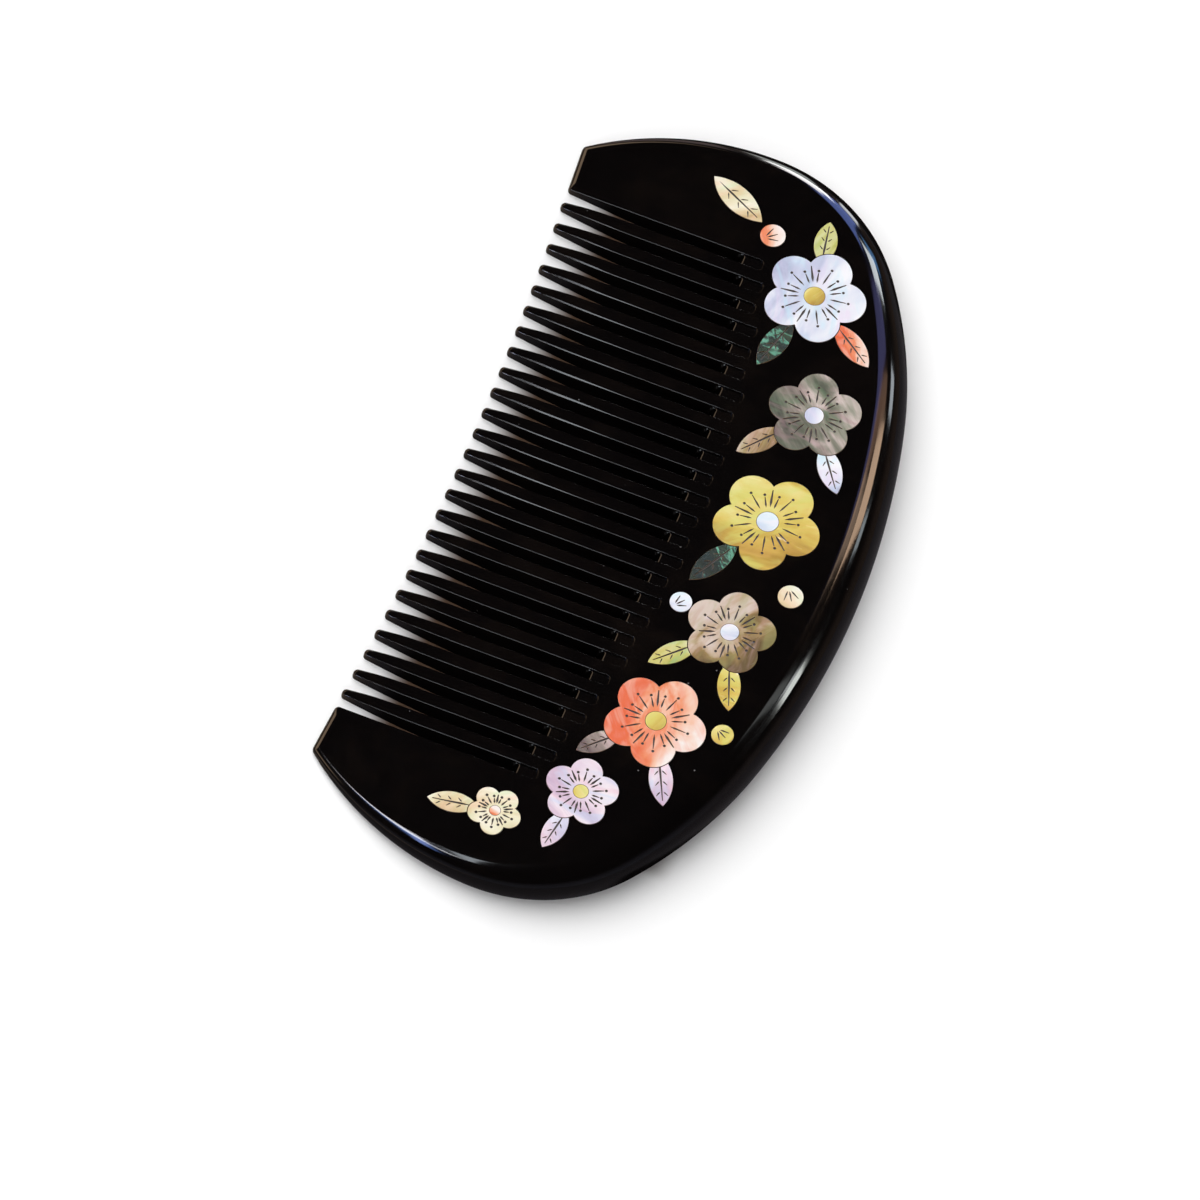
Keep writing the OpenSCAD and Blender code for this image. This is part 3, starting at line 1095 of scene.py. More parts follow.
@dataclass(frozen=True)
class CombBody:
    """The lacquered comb: rim, guards, teeth and back in one skin, with a pocket for each shell piece."""

    wedge: Wedge
    rim: Rim
    guard: Guard
    teeth: Teeth
    profile: Profile
    pocket_gap: float = 0.1
    pocket_deep: float = 0.54
    least_apart: float = 1e-6

    @classmethod
    def from_frame(cls) -> "CombBody":
        """Takes the comb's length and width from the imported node.

        Returns:
            The comb.
        """
        low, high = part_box("comb")
        wedge = Wedge((high.x - low.x) / MM, (high.y - low.y) / MM)
        rim = Rim(wedge)
        teeth = Teeth(wedge)
        return cls(wedge, rim, Guard(rim, teeth.guard_x), teeth, Profile(wedge))

    def stations(self) -> list[Station]:
        """Walks once round the comb.

        Returns:
            The stations, with the wood on the left.
        """
        teeth = self.teeth
        guard, side_angle = self.guard.stations(*teeth.arrises(teeth.guard_x, -1, 0.0))
        other_guard, _ = self.guard.stations(*teeth.arrises(-teeth.guard_x, 1, teeth.worn_len))
        half = self.rim.half(side_angle)
        apex = Station((0.0, self.wedge.width), (0.0, 1.0), 0.0)
        other = [s.across() for s in reversed(other_guard + half)]
        return teeth.stations() + guard + half + [apex] + other

    def build(self) -> bpy.types.Object:
        """Makes the comb's mesh.

        Returns:
            The comb's object.
        """
        skin = Skin()
        stations = self.stations()
        rows = [self.profile.draw(s) for s in stations]
        numbers = [self._number(skin, station, row) for station, row in zip(stations, rows)]
        for i in range(len(rows)):
            self._strip(skin, rows[i - 1], rows[i], numbers[i - 1], numbers[i])
        self._close(skin, [n[0] for n in numbers], self._pockets(), True)
        self._close(skin, [n[-1] for n in numbers], [], False)
        return skin.to_object("comb_lacquered", self.wedge)

    def _number(self, skin: Skin, station: Station, row: Sequence[tuple]) -> list[int]:
        """Adds a station's points, with the arrises marked as eased.

        Args:
            skin: the skin to add to.
            station: the place on the edge.
            row: its points, as the profile draws them.

        Returns:
            The points' numbers.
        """
        last = self.profile.arris_steps
        found = []
        for j, (at, _, _) in enumerate(row):
            arris = math.sin(math.pi * j / last) if j < last else 0.0
            found.append(skin.point(at, arris * station.sawn))
        return found

    @staticmethod
    def _strip(skin: Skin, a: Sequence[tuple], b: Sequence[tuple], na: list[int], nb: list[int]) -> None:
        """Adds the faces between two neighbouring stations.

        Args:
            skin: the skin to add to.
            a: the first station's points, as the profile draws them.
            b: the second station's points.
            na: the numbers of the first station's points.
            nb: the numbers of the second station's points.
        """
        for j in range(len(a) - 1):
            corners = [na[j], na[j + 1], nb[j + 1], nb[j]]
            normals = [a[j][2], a[j + 1][1], b[j + 1][1], b[j][2]]
            skin.face(corners, normals)

    def _pockets(self) -> list[list[Plan]]:
        """Returns the plan of each pocket in the face."""
        lean = 1 / self.wedge.stretch
        return [[(x, up * lean) for x, up in piece.outline(self.pocket_gap)] for piece in LAYOUT]

    def _close(self, skin: Skin, loop: list[int], pockets: list[list[Plan]], is_face: bool) -> None:
        """Closes the face or the back inside its edge, and sinks the pockets.

        Args:
            skin: the skin to close.
            loop: the numbers of the edge's points, with the wood on the left.
            pockets: the plans of the pockets, on the face only.
            is_face: True for the face and False for the back.
        """
        edge = [n for i, n in enumerate(loop) if n != loop[i - 1]]
        plans = [[tuple(skin.points[n][:2]) for n in edge]] + pockets
        spots = [Vector(p) for plan in plans for p in plan]
        firsts = np.cumsum([0] + [len(p) for p in plans]).tolist()
        rings = [list(range(a, b)) for a, b in zip(firsts, firsts[1:])]
        sides = [(ring[i - 1], ring[i]) for ring in rings for i in range(len(ring))]
        out, _, triangles, origins, _, owners = delaunay_2d_cdt(spots, sides, rings, 0, self.least_apart)
        light = self.wedge.normal if is_face else np.array([0, 0, -1.0])
        numbers = [self._lay(skin, spot, origin, edge, is_face) for spot, origin in zip(out, origins)]
        sunk: dict[int, int] = {}
        floor_sides: dict[tuple[int, int], None] = {}
        for triangle, owner in zip(triangles, owners):
            if 0 not in owner:
                continue
            corners = [numbers[i] for i in (triangle if is_face else reversed(triangle))]
            if any(o > 0 for o in owner):
                floor_sides.update(((corners[i - 1], corners[i]), None) for i in range(3))
                corners = [self._sink(skin, sunk, n) for n in corners]
            skin.face(corners, [light] * 3)
        for a, b in floor_sides:
            if (b, a) not in floor_sides:
                skin.flat([sunk[b], sunk[a], a, b])

    def _lay(self, skin: Skin, spot: Vector, origin: list[int], edge: list[int], is_face: bool) -> int:
        """Finds the edge's point at a spot of the plan, or adds a new one.

        Args:
            skin: the skin to add to.
            spot: the place in plan.
            origin: which of the given spots fell on it.
            edge: the numbers of the edge's points.
            is_face: True for the face and False for the back.

        Returns:
            The point's number.
        """
        known = [o for o in origin if o < len(edge)]
        if known:
            return edge[known[0]]
        z = self.wedge.height(spot.y) if is_face else 0.0
        return skin.point(np.array([spot.x, spot.y, z]))

    def _sink(self, skin: Skin, sunk: dict[int, int], number: int) -> int:
        """Returns the number of the pocket floor's point straight below one on the face."""
        if number not in sunk:
            sunk[number] = skin.point(skin.points[number] - self.wedge.normal * self.pocket_deep)
        return sunk[number]

    def dress(self, finish: "Lacquer") -> bpy.types.Object:
        """Builds the comb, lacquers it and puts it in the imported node's place.

        Args:
            finish: the lacquer.

        Returns:
            The comb's object.
        """
        made = self.build()
        made.data.materials.append(finish.make())
        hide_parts("comb")
        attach(made, ROOT)
        return made


# Finishes


@dataclass(frozen=True)
class Lacquer:
    """Black lacquer over sandalwood, rubbed to a gloss, a little thin on the arrises.

    cloudy, hazy, dusty and scored are how much the clouds, the haze, the dust and the hairlines do.
    """

    black: Colour = (0.0016, 0.0012, 0.0012)
    brown: Colour = (0.0042, 0.0028, 0.0022)
    thin: Colour = (0.012, 0.007, 0.005)
    dust: Colour = (0.09, 0.09, 0.09)
    ior: float = 1.41
    gloss: float = 0.075
    cloudy: float = 0.7
    hazy: float = 0.05
    dusty: float = 0.3
    scored: float = 0.12
    clouds: Noise = Noise(0.11, 4, 0.6, 0.8, (0.45, 0.75))
    grain: Noise = Noise(1.3, 3, 0.6, 0.0, (0.5, 0.8))
    patches: Noise = Noise(0.6, 3, 0.6, 0.0, (0.3, 0.7))
    haze: Noise = Noise(0.35, 3, 0.55)
    waves: Noise = Noise(0.16)
    hairlines: Noise = Noise(4.0, 2, 0.5, 0.3, (0.6, 0.75))
    grain_stretch: Triple = (1, 9, 1)
    hairline_stretch: Triple = (1, 40, 1)
    hairline_turn: float = 28.0
    worn_span: Span = (0.2, 0.9)
    dust_a_mm: float = 0.35
    dust_size: Span = (0.02, 0.045)
    dust_chosen: Span = (0.6, 0.8)
    wave_deep: float = 0.012
    hairline_deep: float = 0.002

    def make(self) -> bpy.types.Material:
        """Makes the material.

        Returns:
            The material.
        """
        bench = Bench("lacquer_black")
        place = bench.place()
        grain = bench.mask(bench.turned(place, 0, self.grain_stretch), self.grain)
        warm = bench.mask(place, self.clouds) * self.cloudy + grain * (1 - self.cloudy)
        worn = bench.wire("ShaderNodeAttribute", {"attribute_name": "eased"}, {}, "Fac")
        edge = worn.ramp(self.worn_span) * bench.mask(place, self.patches)
        colour = bench.blend(edge, bench.blend(warm, self.black, self.brown), self.thin)
        specks = self._specks(bench, place)
        haze = bench.noise(place, self.haze)
        bench.set(Base_Color=bench.blend(specks, colour, self.dust), IOR=self.ior)
        bench.set(Roughness=haze * self.hazy + (self.gloss - self.hazy / 2) + specks * self.dusty)
        bench.set(Normal=self._surface(bench, place))
        return bench.material

    def _specks(self, bench: Bench, place: Wire) -> Wire:
        """Scatters a few tiny specks of dust.

        Args:
            bench: the material's bench.
            place: the place on the object, in millimetres.

        Returns:
            1 in the specks and 0 elsewhere.
        """
        settings = {"feature": "F1", "distance": "EUCLIDEAN"}
        cells = bench.node("ShaderNodeTexVoronoi", settings, {"Vector": place, "Scale": self.dust_a_mm})
        near = Wire(bench, cells.outputs["Distance"]).ramp(self.dust_size)
        which = bench.wire("ShaderNodeSeparateColor", {}, {0: Wire(bench, cells.outputs["Color"])}, "Red")
        return (1 - near) * which.ramp(self.dust_chosen)

    def _surface(self, bench: Bench, place: Wire) -> Wire:
        """Makes the rubbed surface, with its faint waves and hairlines.

        Args:
            bench: the material's bench.
            place: the place on the object, in millimetres.

        Returns:
            Its normal.
        """
        skin = bench.bump(bench.noise(place, self.waves), self.wave_deep)
        along = bench.turned(place, self.hairline_turn, self.hairline_stretch)
        lines = bench.mask(along, self.hairlines)
        return bench.bump(lines, self.hairline_deep, Strength=self.scored, Normal=skin)


@dataclass(frozen=True)
class Pearl:
    """Polished mother-of-pearl: clouded colours along the growth lines, and lacquer in the engraving.

    tones run from the deepest to the palest, each at its stop. sheen is a pair of tints that play over them.
    drift is how much the tone changes across the piece, and cloudy and streak how much it follows the clouds
    and the growth lines. The last values are the finish: how rough, how much rougher in the engraving and
    along the lines, the clear coat on the polished top, and the faint relief of clouds and lines.
    """

    stops: tuple[float, ...]
    tones: tuple[Colour, ...]
    sheen: tuple[Colour, Colour]
    sheen_share: float = 0.3
    drift: float = 0.22
    streak: float = 0.3
    cloudy: float = 1.6
    base: float = 0.3
    clouds: Noise = Noise(0.16, 4, 0.5, 1.5)
    lines: Noise = Noise(0.5, 4, 0.6, 0.3)
    shimmer: Noise = Noise(0.24, 3, 0.5, 2.0)
    cloud_stretch: Triple = (2.0, 1.0, 1.0)
    line_stretch: Triple = (12.0, 1.0, 1.0)
    shimmer_stretch: Triple = (2.5, 1.0, 1.0)
    shimmer_turn: float = 30.0
    first_sheen: Span = (0.5, 0.68)
    second_sheen: Span = (0.32, 0.5)
    engraved: Colour = (0.03, 0.022, 0.018)
    edge: Colour = (0.5, 0.26, 0.12)
    edge_share: float = 0.6
    edge_span: Span = (0.6, 0.97)
    top_span: Span = (-0.02, 0.045)
    rough: float = 0.2
    rougher: float = 0.4
    lined: float = 0.12
    ior: float = 1.5
    coat: float = 0.5
    coat_rough: float = 0.06
    relief_lines: float = 0.3
    relief_deep: float = 0.03

    def make(self, name: str, turn: float, middle: Vector, radius: float, wedge: Wedge) -> bpy.types.Material:
        """Returns the material for one piece.

        Args:
            name: the piece's name.
            turn: the direction of its growth lines in degrees.
            middle: the piece's middle in metres.
            radius: half the piece's size in metres.
            wedge: the comb's blank, whose face the piece lies in.

        Returns:
            The material.
        """
        bench = Bench("pearl_" + name)
        place = bench.place()
        across = bench.turned(place, turn, (1.0, 1.0, 1.0), tuple(middle / MM)).part("Y") * (MM / radius)
        clouds = bench.noise(bench.turned(place, turn, self.cloud_stretch), self.clouds)
        lines = bench.noise(bench.turned(place, turn, self.line_stretch), self.lines)
        across_lines = bench.turned(place, turn + self.shimmer_turn, self.shimmer_stretch)
        shimmer = bench.noise(across_lines, self.shimmer)
        shown = self._above(bench, place, wedge)
        tone = across * self.drift + clouds * self.cloudy + lines * self.streak
        tone = tone - (self.base + self.streak / 2)
        stops = {"stops": tuple(zip(self.stops, self.tones))}
        colour = bench.wire("ShaderNodeValToRGB", stops, {"Fac": tone}, "Color")
        first, second = shimmer.ramp(self.first_sheen), 1 - shimmer.ramp(self.second_sheen)
        colour = bench.blend(first * self.sheen_share, colour, self.sheen[0])
        colour = bench.blend(second * self.sheen_share, colour, self.sheen[1])
        rim = (1 - bench.facing(wedge).ramp(self.edge_span)) * self.edge_share
        bench.set(Base_Color=bench.blend(shown, self.engraved, bench.blend(rim, colour, self.edge)))
        rough = (self.rough + self.rougher) - shown * self.rougher + lines * self.lined
        bench.set(Roughness=rough, IOR=self.ior)
        coat = shown * self.coat
        relief = bench.bump(clouds + lines * self.relief_lines, self.relief_deep)
        bench.set(Coat_Weight=coat, Coat_Roughness=self.coat_rough, Normal=relief)
        return bench.material

    def _above(self, bench: Bench, place: Wire, wedge: Wedge) -> Wire:
        """Returns 1 on the polished top and 0 down in the engraving and the gap."""
        base = wedge.edge_thick + wedge.rise * wedge.width / 2
        height = (place.part("Z") - place.part("Y") * wedge.rise - base) * (1 / wedge.stretch)
        return height.ramp(self.top_span)


PEARLS: dict[str, Pearl] = {
    "shell_white": Pearl(
        (0.0, 0.3, 0.5, 0.75),
        ((0.34, 0.36, 0.52), (0.5, 0.53, 0.68), (0.66, 0.68, 0.76), (0.79, 0.79, 0.82)),
        ((0.72, 0.56, 0.74), (0.44, 0.7, 0.8)),
        sheen_share=0.45,
    ),
    "shell_grey": Pearl(
        (0.1, 0.35, 0.55, 0.8),
        ((0.035, 0.035, 0.026), (0.1, 0.11, 0.07), (0.2, 0.19, 0.14), (0.52, 0.42, 0.38)),
        ((0.34, 0.19, 0.21), (0.09, 0.18, 0.08)),
        sheen_share=0.4, drift=0.3, streak=1.2,
    ),
    "shell_gold": Pearl(
        (0.1, 0.3, 0.5, 0.8),
        ((0.4, 0.22, 0.01), (0.54, 0.36, 0.03), (0.64, 0.5, 0.08), (0.7, 0.62, 0.2)),
        ((0.64, 0.36, 0.05), (0.56, 0.6, 0.12)),
        sheen_share=0.4,
    ),
    "shell_olive": Pearl(
        (0.2, 0.42, 0.52, 0.75),
        ((0.12, 0.07, 0.012), (0.28, 0.17, 0.045), (0.46, 0.32, 0.2), (0.58, 0.47, 0.4)),
        ((0.46, 0.26, 0.2), (0.3, 0.3, 0.08)),
        sheen_share=0.4, drift=0.5,
    ),
    "shell_coral": Pearl(
        (0.15, 0.4, 0.55, 0.78),
        ((0.72, 0.1, 0.015), (0.76, 0.22, 0.08), (0.78, 0.46, 0.32), (0.8, 0.72, 0.68)),
        ((0.78, 0.26, 0.18), (0.8, 0.58, 0.46)),
        sheen_share=0.3, drift=0.5,
    ),
    "shell_lilac": Pearl(
        (0.0, 0.3, 0.5, 0.78),
        ((0.4, 0.25, 0.38), (0.56, 0.4, 0.53), (0.68, 0.55, 0.64), (0.78, 0.72, 0.75)),
        ((0.74, 0.42, 0.5), (0.46, 0.58, 0.76)),
        sheen_share=0.45,
    ),
    "shell_cream": Pearl(
        (0.0, 0.3, 0.5, 0.78),
        ((0.54, 0.36, 0.16), (0.66, 0.54, 0.3), (0.75, 0.68, 0.48), (0.8, 0.78, 0.7)),
        ((0.78, 0.5, 0.34), (0.58, 0.72, 0.46)),
        sheen_share=0.45,
    ),
    "shell_green": Pearl(
        (0.1, 0.3, 0.5, 0.8),
        ((0.22, 0.24, 0.015), (0.38, 0.38, 0.05), (0.5, 0.49, 0.12), (0.62, 0.62, 0.34)),
        ((0.62, 0.46, 0.12), (0.24, 0.46, 0.18)),
        sheen_share=0.5,
    ),
    "shell_abalone": Pearl(
        (0.42, 0.54, 0.62, 0.7),
        ((0.005, 0.014, 0.008), (0.008, 0.03, 0.02), (0.1, 0.38, 0.25), (0.01, 0.035, 0.02)),
        ((0.012, 0.05, 0.06), (0.035, 0.07, 0.012)),
        sheen_share=0.3, drift=0.1, streak=1.1,
        clouds=Noise(0.3, 4, 0.5, 1.5),
        shimmer=Noise(0.45, 3, 0.5, 2.0),
    ),
}


@dataclass(frozen=True)
class Inlay:
    """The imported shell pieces, with softened edges and a pearl finish each.

    soften is the width of the softened edges, and each piece's growth lines turn by grain_turn degrees more
    than those of the one before. The other sizes belong to the modifiers, in millimetres and degrees.
    """

    wedge: Wedge
    soften: float = 0.024
    grain_turn: float = 47.0
    box_to_radius: float = 2.83
    weld: float = 0.001
    flat: float = 0.5
    sharp: float = 40.0
    segments: int = 2
    evenness: int = 80

    def dress(self) -> int:
        """Dresses every shell node.

        Returns:
            How many there are.
        """
        rows = [r for r in frame["record"]["subparts"] if r["material_slot"] in PEARLS]
        for i, row in enumerate(rows):
            node = frame["nodes"][row["node"]]
            self._ease(node)
            low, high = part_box(row["node"])
            radius = (high - low).to_2d().length / self.box_to_radius
            pearl, turn = PEARLS[row["material_slot"]], self.grain_turn * i % 180
            node.data.materials.clear()
            node.data.materials.append(pearl.make(row["node"], turn, (low + high) / 2, radius, self.wedge))
            LOG.info("%s: %s", row["node"], row["material_slot"])
        return len(rows)

    def _ease(self, node: bpy.types.Object) -> None:
        """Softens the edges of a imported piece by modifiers, which leave its mesh alone.

        Args:
            node: the piece.
        """
        sharp = {"limit_method": "ANGLE", "angle_limit": math.radians(self.sharp)}
        ways = {"miter_outer": "MITER_ARC", "use_clamp_overlap": False}
        flat = {"decimate_type": "DISSOLVE", "angle_limit": math.radians(self.flat)}
        steps = (
            ("weld", "WELD", {"merge_threshold": self.weld * MM}),
            ("one_face_a_flat", "DECIMATE", flat),
            ("eased_edge", "BEVEL", {"width": self.soften * MM, "segments": self.segments, **sharp, **ways}),
            ("evened_light", "WEIGHTED_NORMAL", {"weight": self.evenness, "keep_sharp": False}),
        )
        for name, kind, settings in steps:
            modifier = node.modifiers.new(name, kind)
            for key, value in settings.items():
                setattr(modifier, key, value)


# Table, light and camera


class Use(Enum):
    """What a light is for."""

    GLOSS = "shows in the gloss alone"
    FILL = "lights the comb and the table but doesn't show in the gloss"


Sky = tuple[float, float]


def towards(sky: Sky) -> Vector:
    """Returns the direction at an angle from the zenith and an azimuth from +X towards +Y, in degrees."""
    zenith, azimuth = math.radians(sky[0]), math.radians(sky[1])
    flat = math.sin(zenith)
    return Vector((flat * math.cos(azimuth), flat * math.sin(azimuth), math.cos(zenith)))


@dataclass(frozen=True)
class Softbox:
    """A soft light far off, which fills a band of the sky from start to end, wide degrees across."""

    name: str
    start: Sky
    end: Sky
    wide: float
    radiance: float
    colour: Colour = (1.0, 1.0, 1.0)
    use: Use = Use.GLOSS
    distance: float = 4.0

    def make(self, target: Vector) -> bpy.types.Object:
        """Makes the light.

        Args:
            target: the point that it looks at.

        Returns:
            The light.
        """
        a, b = towards(self.start), towards(self.end)
        way, along = (a + b).normalized(), (b - a).normalized()
        axes = Matrix((along, way.cross(along), way)).transposed()
        data = bpy.data.lights.new(self.name, "AREA")
        is_round = self.use is Use.FILL
        data.shape = "ELLIPSE" if is_round else "RECTANGLE"
        data.size = 2 * self.distance * math.tan(a.angle(b) / 2)
        data.size_y = 2 * self.distance * math.tan(math.radians(self.wide / 2))
        area = data.size * data.size_y * (math.pi / 4 if is_round else 1)
        data.energy = self.radiance * math.pi * area
        data.color = self.colour
        made = add_object(self.name, data)
        made.matrix_world = Matrix.Translation(target + way * self.distance) @ axes.to_4x4()
        made.visible_diffuse = is_round
        made.visible_glossy = not is_round
        return made


@dataclass(frozen=True)
class Studio:
    """A pale table in a dim room, with soft windows and lamps that show in the gloss.

    In place of the table the gloss shows grey cards that lie on it round the comb. Their tones hold painted
    light
    and shade: paler and warmer in front of the teeth, a painted reflection of the lit table, and black under
    the comb, a painted shade. The table has a warm shade painted on it under the roots of the teeth. The
    spans say
    where one tone gives way to the next: on the table and the cards in millimetres, and for the ends of the
    painted shade on the table in their squares, so that one span serves both ends.
    """

    table_size: float = 8.0
    table_down: float = 0.02
    cards_down: float = 0.01
    rough: float = 0.9
    table_noise: Noise = Noise(0.01)
    # spans of the painted shade on the table under the roots of the teeth
    shade_front: Span = (-24.0, -19.5)
    shade_back: Span = (14.0, 20.0)
    shade_ends: Span = (1680.0, 1850.0)
    tips_light_front: Span = (-29.5, -23.5)
    # span of the painted light on the cards in front of the teeth
    black_shade_front: Span = (-24.0, -20.0)
    # spans of the painted shade: the cards turn black under the comb
    black_shade_back: Span = (20.0, 26.0)
    black_shade_end: Span = (46.0, 51.0)
    room_top: Span = (0.12, 0.5)
    room_sides: Span = (-0.5, 0.3)
    table_tone: Colour = (0.9, 0.9, 0.9)
    table_tone_2: Colour = (0.891, 0.891, 0.891)
    # the painted warm shade on the table
    shade_tone: Colour = (0.12, 0.075, 0.05)
    card_tone: Colour = (0.13, 0.118, 0.13)
    # painted light on the cards in front of the teeth
    tips_painted_light_tone: Colour = (0.56, 0.44, 0.34)
    # painted shade on the cards under the comb
    black_painted_shade_tone: Colour = (0.012, 0.01, 0.01)
    room_dark: Colour = (0.012, 0.01, 0.011)
    room_blue: Colour = (0.2, 0.2, 0.25)
    room_brown: Colour = (0.2, 0.14, 0.11)
    lights: tuple[Softbox, ...] = (
        Softbox("sky", (42.0, 335.0), (60.0, 197.0), 64, 2.85, use=Use.FILL),
        Softbox("sky_far", (35.0, 30.0), (76.0, 30.0), 66, 1.7, use=Use.FILL),
        Softbox("window", (74.0, 185.2), (62.0, 187.9), 11, 26, (1.0, 1.0, 0.99)),
        Softbox("window_tip", (62.0, 187.9), (53.5, 192.6), 6, 24, (1.0, 0.95, 0.95)),
        Softbox("window_far", (89.5, 186.1), (77.6, 186.0), 10, 5, (0.92, 1.0, 0.96)),
        Softbox("window_top", (89.3, 170.3), (75.7, 172.4), 6, 9, (0.93, 0.96, 1.0)),
        Softbox("haze_low", (73.3, 174.5), (42.8, 190.8), 8, 7.0, (0.26, 0.38, 1.0), distance=4.2),
        Softbox("haze_high", (47.8, 164.2), (31.8, 192.7), 6, 2.5, (0.4, 0.4, 1.0), distance=4.2),
        Softbox("pane", (60.0, 161.0), (47.0, 176.4), 6.5, 17, (0.9, 0.96, 1.0)),
        Softbox("pane_glow", (69.6, 159.0), (57.7, 171.0), 6, 5.6, (0.2, 0.5, 1.0), distance=4.2),
        Softbox("warm_wall", (47.5, 142.5), (34.0, 158.8), 7, 13, (1.0, 0.68, 0.46)),
        Softbox("warm_wall_low", (33.0, 160.0), (29.5, 184.0), 3, 5, (1.0, 0.7, 0.5)),
        Softbox("warm_wall_side", (47.0, 153.4), (31.0, 181.8), 4, 2.8, (1.0, 0.57, 0.38), distance=4.2),
        Softbox("spot", (54.5, 132.0), (46.7, 136.7), 3, 7, (0.85, 0.95, 1.0)),
        Softbox("far_window", (67.0, 140.6), (58.0, 146.0), 6, 9, (0.85, 0.93, 1.0)),
        Softbox("lamp", (57.0, 112.0), (46.0, 118.3), 3.6, 20, (0.95, 1.0, 0.96)),
        Softbox("lamp_end", (46.0, 118.6), (40.5, 122.0), 2.2, 12, (0.95, 1.0, 1.0)),
        Softbox("lamp_low", (38.3, 123.3), (25.1, 148.8), 2.5, 2.4, (0.95, 1.0, 0.98)),
        Softbox("ridge", (21.4, 230.2), (19.9, 303.7), 2.3, 9.5, (0.86, 0.93, 1.0)),
        Softbox("strip", (28.6, 224.0), (22.3, 272.0), 2.6, 26, (0.97, 0.97, 1.0)),
        Softbox("strip_tip", (22.3, 272.0), (21.8, 302.0), 1.7, 22, (0.97, 0.97, 1.0)),
        Softbox("strip_blue", (25.6, 240.0), (36.0, 318.0), 4.5, 6.5, (0.2, 0.38, 1.0), distance=4.2),
        Softbox("strip_pale", (21.5, 268.0), (34.0, 312.0), 2.5, 9.0, (0.42, 0.52, 1.0), distance=4.1),
        Softbox("door", (94.0, 199.4), (65.0, 202.6), 12, 1.0, (1.0, 0.75, 0.75)),
        Softbox("tips_wall", (56, 207), (58, 290), 22, 3.9, (1.0, 0.72, 0.48)),
    )

    def build(self, target: Vector) -> None:
        """Makes the table and its cards, the lights and the room round them.

        Args:
            target: the point that the lights look at.
        """
        self._table()
        self._cards()
        for light in self.lights:
            light.make(target)
        self._room()
        bpy.context.scene.view_settings.view_transform = "Standard"

    def _room(self) -> None:
        """Makes the room: dark above, bluish beyond the right of the comb and brown beyond its left."""
        world = bpy.data.worlds.new("room")
        bpy.context.scene.world = world
        bench = RoomBench(world)
        way = bench.wire("ShaderNodeTexCoord", {}, {}, "Generated")
        low = 1 - way.part("Z").ramp(self.room_top)
        side = bench.blend(way.part("X").ramp(self.room_sides), self.room_brown, self.room_blue)
        bench.set(Color=bench.blend(low, self.room_dark, side))

    def _sheet(self, name: str, down: float, bench: Bench) -> bpy.types.Object:
        """Makes a large flat sheet, which is part of the stage.

        Args:
            name: its name.
            down: how far it lies under the comb's back, in millimetres.
            bench: its material.

        Returns:
            The sheet.
        """
        half, z = self.table_size / 2, -down * MM
        mesh = bpy.data.meshes.new(name)
        corners = [(-half, -half, z), (half, -half, z), (half, half, z), (-half, half, z)]
        mesh.from_pydata(corners, [], [(0, 1, 2, 3)])
        mesh.materials.append(bench.material)
        bench.set(Roughness=self.rough, Specular_IOR_Level=0.0)
        made = add_object(name, mesh)
        return made

    def _table(self) -> None:
        """Makes the pale table, with a warm shade painted on it under the roots of the teeth."""
        bench = Bench("table_pale_painted_shade")
        place = bench.place()
        tone = bench.blend(bench.noise(place, self.table_noise), self.table_tone, self.table_tone_2)
        x, y = place.part("X"), place.part("Y")
        # painted shade: a warm dark tone on the table under the roots of the teeth, seen between them
        across = y.ramp(self.shade_front) * (1 - y.ramp(self.shade_back))
        shade = across * (1 - (x * x).ramp(self.shade_ends))
        bench.set(Base_Color=bench.blend(shade, tone, self.shade_tone))
        self._sheet("table", self.table_down, bench).visible_glossy = False

    def _cards(self) -> None:
        """Makes the cards, which only the gloss shows; they are paler in front of the teeth, a painted light,
        and black under the comb, a painted shade.
        """
        bench = Bench("cards_painted_light_and_shade")
        x, y = bench.place().part("X"), bench.place().part("Y")
        # painted shade: the cards are black under the comb, where the table lies in shade
        under = y.ramp(self.black_shade_front) * (1 - y.ramp(self.black_shade_back)) * (1 - x.ramp(self.black_shade_end))
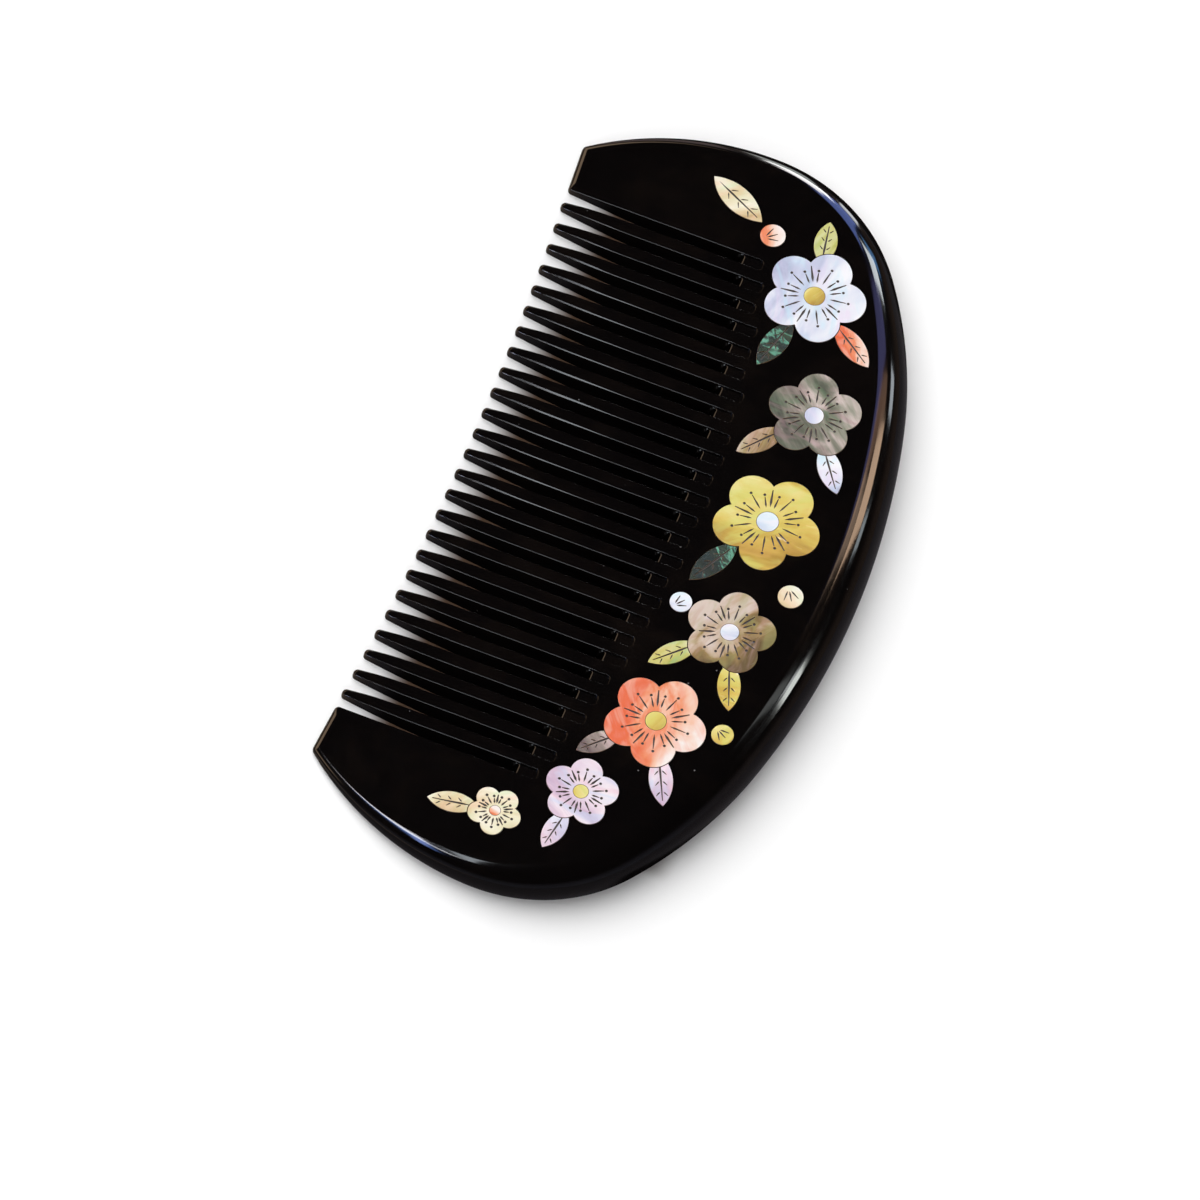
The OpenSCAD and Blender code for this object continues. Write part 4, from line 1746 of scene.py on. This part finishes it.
        # painted light: the cards grow paler and warmer in front of the teeth, a painted reflection of the
        # lit table there
        grey = bench.blend(1 - y.ramp(self.tips_light_front), self.card_tone, self.tips_painted_light_tone)
        bench.set(Base_Color=bench.blend(under, grey, self.black_painted_shade_tone))
        made = self._sheet("cards", self.cards_down, bench)
        for ray in ("camera", "diffuse", "transmission", "shadow"):
            setattr(made, "visible_" + ray, False)


@dataclass(frozen=True)
class Viewpoint:
    """The camera, which looks down on the comb and leans along its row of teeth.

    The row runs through the picture at row_turn degrees, clockwise from the right. picture is the picture's
    width in pixels and scale the millimetres that a pixel shows.
    """

    lean: float = 27.62
    tilt: float = 1.69
    row_turn: float = 114.76
    picture: int = 1200
    scale: float = 0.12404
    middle: Triple = (12.1, 24.87, 2.95)
    distance: float = 2.08
    sensor: float = 36.0
    clip: Span = (0.05, 50.0)

    def build(self, wedge: Wedge) -> Vector:
        """Makes the camera.

        Args:
            wedge: the comb's blank, which knows its place in the frame.

        Returns:
            The point that the camera looks at.
        """
        lean, tilt, turn = (math.radians(a) for a in (self.lean, self.tilt, self.row_turn))
        target = Vector(wedge.to_frame(np.array(self.middle)))
        back = Vector((math.sin(lean) * math.cos(tilt), -math.sin(tilt), math.cos(lean) * math.cos(tilt)))
        row = Vector((math.cos(lean), 0, -math.sin(lean)))
        rise = back.cross(row)
        right = row * math.cos(turn) + rise * math.sin(turn)
        data = bpy.data.cameras.new("camera")
        data.sensor_width = self.sensor
        data.lens = self.sensor * self.distance / (self.picture * self.scale * MM)
        data.clip_start, data.clip_end = self.clip
        made = add_object("camera", data)
        axes = Matrix((right, back.cross(right), back)).transposed()
        made.matrix_world = Matrix.Translation(target + back * self.distance) @ axes.to_4x4()
        bpy.context.scene.camera = made
        return target


def main() -> None:
    """Builds the comb, its inlay and the scene round them, in order."""
    logging.basicConfig(level=logging.INFO, format="%(name)s: %(message)s")
    body = CombBody.from_frame()
    made = body.dress(Lacquer())
    LOG.info("%s: %d faces", made.name, len(made.data.polygons))
    LOG.info("pockets: %s", ", ".join(f"{type(piece).__name__} {piece.name}".lower() for piece in LAYOUT))
    LOG.info("shell pieces: %d", Inlay(body.wedge).dress())
    target = Viewpoint().build(body.wedge)
    Studio().build(target)


if __name__ == "__main__":
    main()
